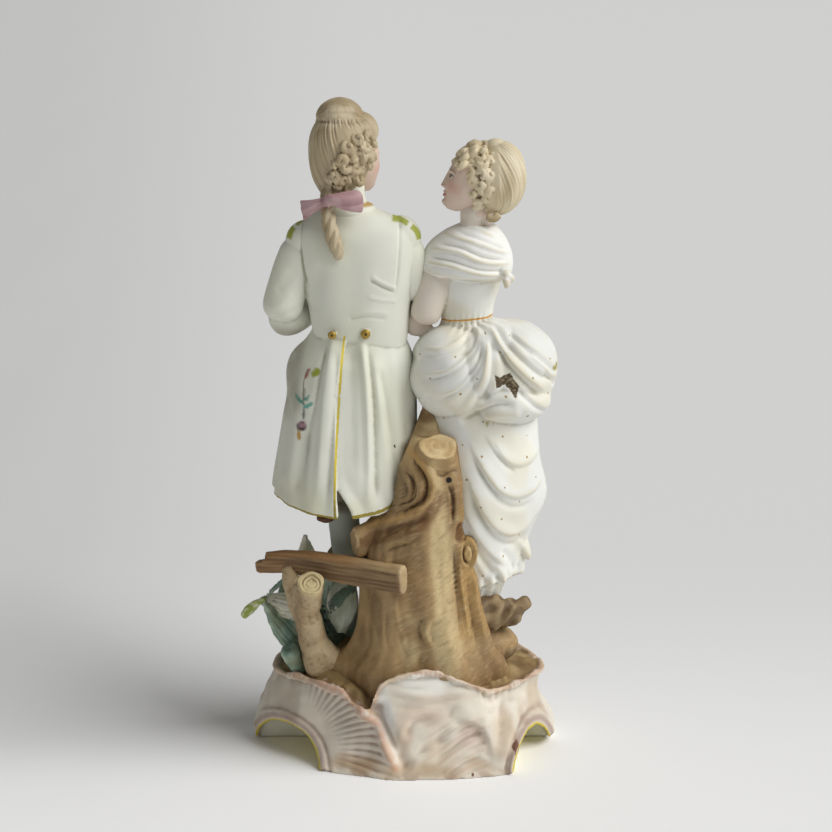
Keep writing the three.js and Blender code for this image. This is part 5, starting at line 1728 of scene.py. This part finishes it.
def underskirt_skin(turn, share):
    hem = 78.5 + 9 * np.cos(turn) - 8 * np.sin(turn)
    z = mix(hem, SKIRT[-1][0], share)
    x, y, width, depth = rows_at(SKIRT, z)
    low = smooth((200 - z) / 70)
    swag = np.sin(turn * 5 + (z - 80) / 16) * bump(z, 130, 42)
    out = low * (0.5 * swag + 1.2 * np.cos(7 * turn + 0.6) * smooth((125 - z) / 40))
    out = out + 0.9 * np.cos(26 * turn) * smooth((hem + 9 - z) / 8)
    return stacked(x + (width + out) * np.cos(turn), y + (depth + out) * np.sin(turn), z)


DRESS_FOLDS = [
    # from the gathers at the waist, the creases that fan out to the left and to the right
    ([(38.8, 218), (36.5, 211), (31, 204.5), (22, 199), (10, 196)], 1.5, 1.5, 0.55),
    ([(38.4, 215), (35.4, 208), (29.4, 201.8), (20, 196), (9, 192.6)], 1.7, -1.5, 1.4),
    ([(40.6, 216), (39.4, 206), (34.6, 197.6), (27, 190.6), (17, 186)], 1.6, 1.6, 0.55),
    ([(40.4, 212), (38.4, 202.6), (33, 194.4), (25.4, 187.4), (16, 182.6)], 1.8, -1.7, 1.4),
    ([(37.4, 220), (30, 213.4), (20, 209), (10, 208)], 1.4, 1.0, 0.6),
    ([(37, 217), (29.4, 210.4), (19, 206), (9, 204.6)], 1.5, -0.9, 1.3),
    ([(42, 216), (42, 206), (39.6, 195.6), (34, 185.4), (28, 179)], 1.7, 1.3, 0.6),
    ([(43.6, 214), (44.4, 203), (43, 192), (39, 181)], 2.0, -1.6, 1.0),
    ([(43.2, 220), (50.4, 206.6), (60, 196.6), (72, 186)], 1.7, 1.7, 0.6),
    ([(44.6, 220.4), (53.4, 208.8), (63.4, 199.6), (75, 190.4)], 1.7, -1.7, 1.3),
    ([(48, 221), (59, 212), (69.4, 204.4), (77, 196)], 1.6, 1.1, 0.6),
    ([(46.2, 212), (51.6, 202), (60, 192.6), (70, 182.4)], 1.5, -1.2, 1.3),
    ([(50, 218.4), (60.4, 208.6), (71, 200), (77.4, 193)], 1.2, -0.7, 1.0),
    # where the two puffs meet, and the lobes of the right one
    ([(28, 172), (37, 177), (46, 182), (56, 182.6)], 2.0, -2.0, 1.2),
    ([(40, 175), (49, 177.5), (59, 177)], 2.2, 1.2, 0.7),
    ([(56, 190), (63, 183), (70, 177), (75, 175)], 1.5, -1.5, 1.2),
    ([(70, 197), (75, 191), (77, 186)], 1.5, -1.5, 1.0),
    ([(62, 206), (70, 199), (76, 191)], 1.2, 0.8, 0.6),
    ([(11, 186), (20, 181.6), (28, 176)], 1.8, -0.9, 1.0),
]
SKIRT_FOLDS = [
    # the hanging loops of the underskirt, each sharp below and soft above
    ([(41, 168), (47.5, 157.5), (56, 151), (64, 151.4), (70, 156.5)], 1.8, 1.2, 0.45),
    ([(33, 165), (40, 150), (48.4, 139), (57, 135), (65, 136.6), (72, 143)], 2.2, 1.7, 0.45),
    ([(35, 157), (41, 145), (49, 134), (58, 129.6), (67, 132)], 1.8, -1.1, 1.3),
    ([(32, 150), (38, 133), (46, 120.4), (55, 115.4), (63, 118.6), (71.5, 129)], 2.2, 1.7, 0.45),
    ([(33, 141), (39, 126), (47, 114), (56, 109.6), (65, 114)], 1.8, -1.1, 1.3),
    ([(31, 131), (37, 117), (44, 106.6), (53, 98)], 1.9, 1.2, 0.55),
    ([(31, 122), (37, 109), (44, 98), (50, 89)], 1.7, -0.9, 1.2),
    ([(32, 114), (38, 101), (44, 90)], 1.7, 0.9, 0.7),
    ([(44, 164), (50, 153), (57, 147)], 1.2, -0.6, 1.3),
    ([(57, 112), (61.5, 104), (64.6, 97)], 1.6, 1.0, 1.0),
    ([(50, 108), (55, 100), (58.5, 92)], 1.7, -0.9, 1.0),
    ([(47, 100), (51, 92), (53, 84)], 1.5, 0.8, 0.8),
]
FICHU_FOLDS = [
    ([(11, 249), (23.7, 248), (38.3, 244.2), (51.5, 242.8)], 1.2, 1.2, 0.5),
    ([(12, 251.8), (24, 250.8), (38, 246.6), (52, 245)], 1.1, -1.1, 1.3),
    ([(14, 255.5), (27, 254.6), (39, 250), (53, 247.6)], 1.2, 1.2, 0.5),
    ([(16, 258.3), (28, 257.4), (40, 252.6), (53, 250)], 1.1, -1.1, 1.3),
    ([(22, 262.4), (36, 259), (46, 255), (53, 252.4)], 1.2, 1.0, 0.5),
    ([(24, 265), (36, 261.6), (46, 257.6), (52, 255)], 1.0, -0.8, 1.2),
    ([(9.5, 246), (20, 242.4), (34, 240), (48, 240.6)], 1.0, 0.9, 0.7),
    ([(20, 266.6), (28, 267.2), (36, 265.6), (46, 261)], 1.2, 0.7, 0.6),
]


def lady_relief(points, normals):
    x, y, z = points.T
    lift = np.zeros(len(points))
    for folds, low, high in ((DRESS_FOLDS, 166, 224), (SKIRT_FOLDS, 78, 174), (FICHU_FOLDS, 236, 270)):
        inside = smooth((z - low) / 3) * smooth((high - z) / 3) * (x > 2)
        for line, width, height, lean in folds:
            lift += inside * fold(points, normals, line, width, 0.85 * height, lean=lean, taper=0.22)
            mirrored = [(78 - a, b) for a, b in line] if low < 200 else [(66 - a, b) for a, b in line]
            lift += 0.75 * inside * fold(points, normals, mirrored, width * 1.1, height, side=1)
    gathers = bump(z, 217, 5) * smooth((x - 20) / 10)
    lift += 0.3 * gathers * np.cos(24 * np.arctan2(y - 4, x - 33))
    crumple = smooth((z - 172) / 6) * smooth((216 - z) / 6) * (x > 4)
    lift += 0.4 * crumple * grain(points, 9, 85, (1.6, 1, 0.8))
    return lift + 0.1 * grain(points, 5, 81)


def lady_forms():
    return [
        stack("bodice", LADY_TORSO, 120, 120),
        limb("skin", [(38, 3, 254), (36.5, 2.5, 266), (36, 2, 278)], [9, 7.4, 7.4]),
        wrapped("fichu", fichu_skin, 160, 100),
        ball("fichu", (51, -9.5, 244), (2.6, 3.2, 2.4), rings=16),
        ball("fichu", (53.6, -9.5, 241.6), (1.9, 2.2, 2.2), rings=16),
        limb("fichu", [(50, -9.5, 243), (51.4, -11.5, 239.6), (51, -11.5, 236.8)], [1.6, 1.8, 0.9]),
        limb("skin", [(20.5, 0, 249), (15.5, -3, 234), (10.5, -3, 218)], [8.6, 7.8, 7.8], 56, 72),
        limb("skin", [(10.5, -2, 218), (5, 12, 218), (0, 27, 223)], [7.8, 6.4, 4.6], 56, 64),
        *hand("skin", (-1, 28, 224), (-0.5, 0.8, 0.25), (-0.2, 0.0, 1), thumb=1, size=0.85),
        limb("skin", [(42, 8, 250), (41, 17, 238), (39.5, 25, 228)], [8, 7, 6.4], 48, 56),
        limb("skin", [(40, 24, 228), (32, 31, 230), (23, 34, 234)], [6.4, 5.4, 3.6], 48, 56),
        *hand("skin", (24, 34, 234), (-0.9, 0.1, 0.3), (0, 0.9, 0.2), thumb=1, size=0.85),
        wrapped("skirt", underskirt_skin, 220, 200),
        limb("skirt", [(54, -3, 114), (60.5, -3, 104), (65, -2, 96)], [5, 4.4, 1.2]),
        stack("skirt", [(46, 34, 8, 15, 15), (60, 34, 8, 13, 14), (84, 36, 5, 17, 20)], 96, 60,
              relief=lambda turn, z: 0.8 * np.cos(19 * turn)),
        ball("puff", (27, -4, 192), (23, 24, 22.5), rings=56),
        ball("puff", (54.5, 0, 195), (23.5, 25, 24), rings=56),
        ball("puff", (40, -6, 196), (20, 21.5, 20), rings=48),
        ball("puff", (24, -4, 202), (18, 20, 15), rings=48),
        ball("puff", (46, -3, 205), (17, 19, 15), rings=48),
        ball("puff", (51, -4, 181), (24, 24, 13.5), rings=48),
        ball("puff", (38, 10, 189), (26, 26, 27), rings=56),
        *[limb("shoe", [(x + 1, y - 12, 53), (x, y - 3, 53), (x - 1, y + 6, 51)], [4.5, 4.6, 3])
          for x, y in ((26, 28), (37, 30))],
    ]


STAR = [(45.3, 197.4), (47.8, 195.4), (53.1, 197.9), (55.1, 193.9), (57.6, 190.9), (55.7, 184.9), (53.2, 188.9),
        (50.3, 191.9), (46.4, 189.9)]


def outline_gap(points, corners):
    """Millimetres outside a closed outline drawn in X and Z, and negative inside it."""
    x, z = points[:, 0], points[:, 2]
    best = np.full(len(points), FARTHEST)
    inside = np.zeros(len(points), bool)
    for (ax, az), (bx, bz) in zip(corners, corners[1:] + corners[:1]):
        step_x, step_z = bx - ax, bz - az
        t = np.clip(((x - ax) * step_x + (z - az) * step_z) / (step_x**2 + step_z**2), 0, 1)
        best = np.minimum(best, np.hypot(x - ax - t * step_x, z - az - t * step_z))
        crosses = (az > z) != (bz > z)
        if step_z:
            inside ^= crosses & (x < ax + (z - az) * step_x / step_z)
    return np.where(inside, -best, best)


def dress_extras(tree, colour, dull):
    """Gold-brown dots on the cloth, the gilt waist line and the bare chip."""
    cloth = add(tree, "Attribute", {"attribute_name": "cloth"}).outputs["Vector"]
    dots = add(tree, "TexVoronoi", {"voronoi_dimensions": "2D", "Scale": 1.0, "Randomness": 0.45},
               {"Vector": cloth})
    size = add(tree, "MapRange", {"To Min": 0.028, "To Max": 0.046},
               {"Value": add(tree, "SeparateColor", None, {0: dots.outputs["Color"]}).outputs[0]}).outputs[0]
    gap = add(tree, "Math", {"operation": "SUBTRACT"}, {0: size, 1: dots.outputs["Distance"]}).outputs[0]
    inside = add(tree, "MapRange", {"From Min": -0.006, "From Max": 0.01, "To Max": 0.85}, {"Value": gap}).outputs[0]
    worn = add(tree, "Attribute", {"attribute_name": "dotted"}).outputs["Fac"]
    share = add(tree, "Math", {"operation": "MULTIPLY"}, {0: inside, 1: worn}).outputs[0]
    colour = add(tree, "Mix", {"data_type": "RGBA", 7: linear("#9a7b2e")}, {0: share, 6: colour}).outputs[2]
    colour, dull, metal = gilded(tree, colour, dull, brushed_line(tree, "edge", 0.5, wear=0.5), linear("#cf9a45"), 0.2)
    chip = add(tree, "Attribute", {"attribute_name": "chip"}).outputs["Fac"]
    where = add(tree, "TexCoord").outputs["Object"]
    ragged = add(tree, "TexNoise", {"Scale": per_metre(1.6), "Detail": 4.0, "Roughness": 0.7}, {"Vector": where})
    shift = add(tree, "Math", {"operation": "MULTIPLY_ADD", 1: 1.6, 2: -0.8}, {0: ragged.outputs["Fac"]}).outputs[0]
    broken = add(tree, "Math", {"operation": "ADD"}, {0: chip, 1: shift}).outputs[0]
    bare = add(tree, "MapRange", {"From Min": 0.15, "From Max": -0.15}, {"Value": broken}).outputs[0]
    crumbs = add(tree, "MapRange", {"From Min": 0.5, "From Max": 0.68}, {"Value": ragged.outputs["Fac"]}).outputs[0]
    dirt = add(tree, "Mix", {"data_type": "RGBA", 6: linear("#574a38"), 7: linear("#a79a7e")}, {0: crumbs}).outputs[2]
    colour = add(tree, "Mix", {"data_type": "RGBA"}, {0: bare, 6: colour, 7: dirt}).outputs[2]
    dull = add(tree, "Mix", {"data_type": "FLOAT", 3: 0.85}, {0: bare, 2: dull}).outputs[0]
    return colour, dull, metal


def make_lady():
    piece = Piece("lady", lady_forms())

    def relief(points, normals):
        chipped = outline_gap(points, STAR)
        return lady_relief(points, normals) - 0.5 * smooth((0.4 - chipped) / 1.0) * (points[:, 1] < -5)

    piece.model(relief)
    points, normals, zones = piece.points, piece.normals, piece.zones()
    x, y, z = points.T
    paint = colours_of(points, "dress")
    paint = sprayed(paint, [
        ("#dcdfda", smooth(0.35 + 0.8 * grain(points, 18, 82)) * 0.4),
        ("#e2dbbf", smooth(0.2 + 0.9 * grain(points, 14, 83)) * 0.4),
    ])
    skin = zones == zone_number("skin")
    paint = sprayed(paint, [
        ("#e0d6c9", skin * 1.0),
        ("#d2b0a0", skin * bump(z, 216, 8) * smooth((20 - x) / 6) * 0.2),
        ("#6d5546", (zones == zone_number("shoe")) * 1.0),
    ])
    patches = np.minimum(np.hypot((x - 76) / 1.8, (z - 197.5) / 2.2), np.hypot((x - 43.2) / 2.4, (z - 172.2) / 0.9))
    paint = spray(paint, "#a39a4e", smooth((1.1 - patches) / 0.5) * smooth(0.6 + grain(points, 1.5, 84)) * (y < 4))
    # the cream wash that has run into the edges of the kerchief
    fichu = zones == zone_number("fichu")
    cream = np.zeros(len(points))
    for line, width, height, lean in FICHU_FOLDS:
        if height > 0:
            near, distance, _ = path_distance(points, line, 2)
            cream[near] = np.maximum(cream[near], bump(distance, -0.3, 0.6))
    paint = sprayed(paint, [
        ("#f1f1ec", fichu * 0.85),
        ("#c9b98e", cream * fichu * smooth(0.3 + grain(points, 5, 86)) * 0.45),
        ("#b39a6a", fichu * smooth((242.5 - z) / 2) * 0.35),
    ])
    piece.note("paint", paint)
    cloth = (zones == zone_number("skirt")) | (zones == zone_number("puff"))
    turned = np.arctan2(y - 4, x - 39) * 30
    pitch = chosen("dot_pitch")
    piece.note("cloth", stacked((turned + z) / (pitch * 1.414), (turned - z) / (pitch * 1.414), 0 * z))
    piece.note("dotted", cloth.astype(float))
    above_waist = z - (220.3 + 0.08 * (x - 33))
    waist = np.where(np.abs(above_waist) < 4, above_waist, AWAY)
    piece.note("edge", np.where(zones == zone_number("bodice"), waist, AWAY))
    piece.note("chip", np.where(y < -5, outline_gap(points, STAR), AWAY))
    # Polished white bisque: a broad soft sheen, with gold-brown dots, cream in its wear and painted shade in the folds
    cloth_finish = painted_bisque("satin_bisque_dress", "#968f72", grain_mm=0.35, roughness=0.58, mottle=0.02,
                                  speckle=0.02, stain_and_shade_share=0.5, extras=dress_extras, bump_share=0.1,
                                  sheen_of_wear="#ddd3b4")
    skin_finish = flesh_tint("flesh_tinted_arm")
    return piece.finish([cloth_finish, skin_finish], skin.astype(int))


LADY_FACE = Face((34.5, 2, 286.5), (-math.cos(math.radians(15)), 0, math.sin(math.radians(15))), (0.27, 0, 1))


def lady_curls():
    """Ringlets heaped over the brow and down the side of the head, on both sides."""
    ways = random.Random(5)
    spots = []
    middle, radii = np.array([39.5, 2, 290.5]), np.array([12.0, 12.0, 16.2])
    for z in np.arange(275, 305, 4.4):
        left = float(np.interp(z, [275, 287, 293, 305], [37.5, 34.5, 29.8, 31]))
        for x in np.arange(left, 45.5, 4.4):
            for side in (-1, 1):
                at = np.array([x + ways.uniform(-1.2, 1.2), 0, z + ways.uniform(-1.2, 1.2)])
                share = (at - middle) / radii
                bulge = math.sqrt(max(0.06, 1 - share[0] ** 2 - share[2] ** 2))
                at[1] = middle[1] + side * radii[1] * bulge
                away = unit((at - middle) / radii**2)
                spots.append((at + away * ways.uniform(-0.6, 0.8), away
                              + [ways.uniform(-0.3, 0.3), 0, ways.uniform(-0.3, 0.3)]))
    for y in np.linspace(-7, 11, 5):
        for x, z in ((28.8, 297.5), (30.4, 302), (35, 304.4), (39.5, 304.6)):
            spots.append((np.array([x + ways.uniform(-0.8, 0.8), y, z - 0.02 * (y - 2) ** 2 + ways.uniform(-0.8, 0.8)]),
                          np.array([-0.5, 0, 1])))
    return spots


def make_lady_head():
    forms = [
        LADY_FACE.form("skin"),
        limb("skin", [(37.5, 2.5, 266), (37, 2.2, 278)], [7.3, 7.6]),
        ball("hair", (48.3, 2, 289), (12.4, 13.6, 17.8), (0, 4, 0), rings=72),
        ball("hair", (39, 2, 295), (9.6, 11, 9.4), (0, 12, 0), rings=32),
        limb("hair", [(42, 2, 300), (45.6, 2, 303.8), (50, 2, 301.6)], [4.0, 4.6, 4.0], side=(0, 1, 0)),
        limb("hair", [(41.5, -6, 271.6), (44.6, -6.6, 270.2), (47.8, -5, 272.4)], [1.7, 1.9, 2.4]),
        *scatter_curls("hair", lady_curls(), chosen("curl_size"), 12),
    ]
    piece = Piece("lady_head", forms)
    hair_only = piece.zones() == zone_number("hair")

    def relief(points, normals):
        x, y, z = points.T
        angle = np.arctan2(y - 2, x - 42)
        swept = smooth((x - 46.5) / 2) * hair_only
        return swept * (0.28 * combed(angle + 0.02 * (z - 290), z, 26, 91)
                        + 0.35 * np.cos(9 * angle + 0.5 * np.sin(z / 7)) * smooth((308 - z) / 8))

    piece.model(relief)
    points, zones = piece.points, piece.zones()
    x, y, z = points.T
    paint = colours_of(points, "her_hair")
    paint = sprayed(paint, [
        ("#a8926a", smooth(0.3 + grain(points, 9, 92, (1, 1, 2))) * 0.4),
        ("#e9e0c9", smooth(0.2 + grain(points, 7, 93, (1, 1, 2))) * 0.5),
        # painted shade on the curl at the nape, under the hair
        ("#8d7347", smooth((274 - z) / 5) * 0.7),
    ])
    strands = combed(np.arctan2(y - 2, x - 42) + 0.02 * (z - 290), z, 44, 94)
    paint = spray(paint, "#8a734a", smooth(-0.1 - 0.9 * strands) * 0.35 * smooth((x - 45) / 2))
    skin = (zones == zone_number("skin")).astype(float)
    paint = LADY_FACE.paint(paint, points, skin, "#dcc8b9")
    piece.note("paint", paint)
    # A pale brown wash wiped off the combed hair: matt, darker between the strands from the wash and from painted shade
    finish = painted_bisque("brushed_hair_wash", "#6d5630", grain_mm=0.5, roughness=0.58, mottle=0.05, speckle=0.07,
                            stain_and_shade_share=0.9, bump_share=0.3)
    skin_finish = flesh_tint("flesh_tinted_face")
    return piece.finish([finish, skin_finish], skin.astype(int))


# The stage

def make_backdrop():
    """A wide sheet of paper with painted light and shade: painted lighter towards the front, nearer the light, and
    painted darker to the left.
    """
    steps = np.linspace(-1, 1, 61)
    away = np.sign(steps) * np.abs(steps) ** 3 * 12000
    floor = grid_of(stacked(away[None, :], away[:, None], -0.2))
    floor.name = "floor"
    floor.data.name = "floor"
    points = np.empty(3 * len(floor.data.vertices), np.float32)
    floor.data.vertices.foreach_get("co", points)
    x, y, z = points.reshape(-1, 3).T
    paint = colours_of(x, "backdrop")
    # painted light towards the front and a painted shadow on the left
    paint = sprayed(paint, [
        ("#ffffff", smooth((300 - y) / 450)),
        ("#a8a8a8", smooth((-40 - x) / (180 + 0.17 * np.maximum(y, 0))) * smooth((y + 260) / 420) * 0.3),
    ])
    shade = floor.data.attributes.new("paint", "FLOAT_COLOR", "POINT")
    shade.data.foreach_set("color", paint.astype(np.float32).reshape(-1))
    floor.data.vertices.foreach_set("co", points * MM)
    floor.data.update()
    # Matt seamless paper: no highlight at all
    material, tree = new_finish("matt_paper_backdrop")
    tone = add(tree, "Attribute", {"attribute_name": "paint"}).outputs["Color"]
    shader = add(tree, "BsdfPrincipled", {"Roughness": 0.9, "Specular IOR Level": 0.1}, {"Base Color": tone})
    add(tree, "OutputMaterial", None, {"Surface": shader.outputs[0]})
    floor.data.materials.append(material)


def make_stage():
    scene = bpy.context.scene
    scene.view_settings.view_transform = "Standard"
    make_backdrop()
    sky = bpy.data.worlds.new("studio")
    sky.use_nodes = True
    sky.node_tree.nodes["Background"].inputs["Color"].default_value = linear("#f6f5f1")
    sky.node_tree.nodes["Background"].inputs["Strength"].default_value = SKY_POWER
    scene.world = sky
    bpy.ops.object.light_add(type="SUN", location=KEY_PLACE)
    lamp = bpy.context.object
    lamp.name = "key"
    lamp.data.angle = math.radians(KEY_SPREAD)
    lamp.data.energy = KEY_POWER
    direction = Vector(np.array(KEY_AIM) - np.array(KEY_PLACE))
    lamp.rotation_euler = direction.to_track_quat("-Z", "Y").to_euler()
    bpy.ops.object.camera_add()
    camera = bpy.context.object
    camera.name = "camera"
    tilt = math.radians(CAMERA_TILT)
    target = np.array([0, 0, CAMERA_TARGET_HEIGHT * MM])
    place = target + CAMERA_DISTANCE * MM * np.array([0, -math.cos(tilt), math.sin(tilt)])
    camera.location = place
    camera.rotation_euler = Vector(target - place).to_track_quat("-Z", "Y").to_euler()
    camera.data.sensor_width = 36
    camera.data.lens = CAMERA_LENS
    camera.data.shift_x = (IMAGE_SIZE / 2 - AXIS_PIXEL[0]) / IMAGE_SIZE
    camera.data.shift_y = (AXIS_PIXEL[1] - IMAGE_SIZE / 2) / IMAGE_SIZE
    camera.data.clip_start = 0.05
    scene.camera = camera


# The steps, as operators

class BISQUE_OT_stage(bpy.types.Operator):
    """Lay the paper, hang the light and place the camera"""
    bl_idname = "bisque.stage"
    bl_label = "Stage"

    def execute(self, context):
        make_stage()
        return {"FINISHED"}


class BISQUE_OT_base(bpy.types.Operator):
    """Build the shell-worked base with its four arched hollows and its ground"""
    bl_idname = "bisque.base"
    bl_label = "Shell base"

    def execute(self, context):
        make_base()
        return {"FINISHED"}


class BISQUE_OT_stump(bpy.types.Operator):
    """Build the tree stump with its sawn faces and fallen branch"""
    bl_idname = "bisque.stump"
    bl_label = "Tree stump"

    def execute(self, context):
        make_stump()
        return {"FINISHED"}


class BISQUE_OT_fence(bpy.types.Operator):
    """Build the split rail on its post"""
    bl_idname = "bisque.fence"
    bl_label = "Broken fence"

    def execute(self, context):
        make_fence()
        return {"FINISHED"}


class BISQUE_OT_plants(bpy.types.Operator):
    """Build the leaves and the bud behind the fence"""
    bl_idname = "bisque.plants"
    bl_label = "Water plants"

    def execute(self, context):
        make_plants()
        return {"FINISHED"}


class BISQUE_OT_gentleman(bpy.types.Operator):
    """Build the gentleman and his head"""
    bl_idname = "bisque.gentleman"
    bl_label = "Gentleman"

    def execute(self, context):
        make_gentleman()
        make_gentleman_head()
        return {"FINISHED"}


class BISQUE_OT_lady(bpy.types.Operator):
    """Build the lady and her head"""
    bl_idname = "bisque.lady"
    bl_label = "Lady"

    def execute(self, context):
        make_lady()
        make_lady_head()
        return {"FINISHED"}


STEPS = (BISQUE_OT_stage, BISQUE_OT_base, BISQUE_OT_stump, BISQUE_OT_fence, BISQUE_OT_plants, BISQUE_OT_gentleman,
         BISQUE_OT_lady)


class BISQUE_PT_sidebar(bpy.types.Panel):
    """The sizes, the colours and the steps in their order"""
    bl_idname = "BISQUE_PT_sidebar"
    bl_label = "Bisque figure group"
    bl_space_type = "VIEW_3D"
    bl_region_type = "UI"
    bl_category = "Bisque"

    def draw(self, context):
        for group in (context.scene.bisque_sizes, context.scene.bisque_colours):
            box = self.layout.box()
            for name in type(group).__annotations__:
                box.prop(group, name)
        for step in STEPS:
            self.layout.operator(step.bl_idname)


def register():
    for part in (BisqueSizes, BisqueColours, *STEPS, BISQUE_PT_sidebar):
        bpy.utils.register_class(part)
    bpy.types.Scene.bisque_sizes = PointerProperty(type=BisqueSizes)
    bpy.types.Scene.bisque_colours = PointerProperty(type=BisqueColours)


def unregister():
    del bpy.types.Scene.bisque_colours
    del bpy.types.Scene.bisque_sizes
    for part in (BISQUE_PT_sidebar, *reversed(STEPS), BisqueColours, BisqueSizes):
        bpy.utils.unregister_class(part)


def main():
    register()
    bpy.ops.bisque.stage()
    bpy.ops.bisque.base()
    bpy.ops.bisque.stump()
    bpy.ops.bisque.fence()
    bpy.ops.bisque.plants()
    bpy.ops.bisque.gentleman()
    bpy.ops.bisque.lady()


if __name__ == "__main__":
    main()
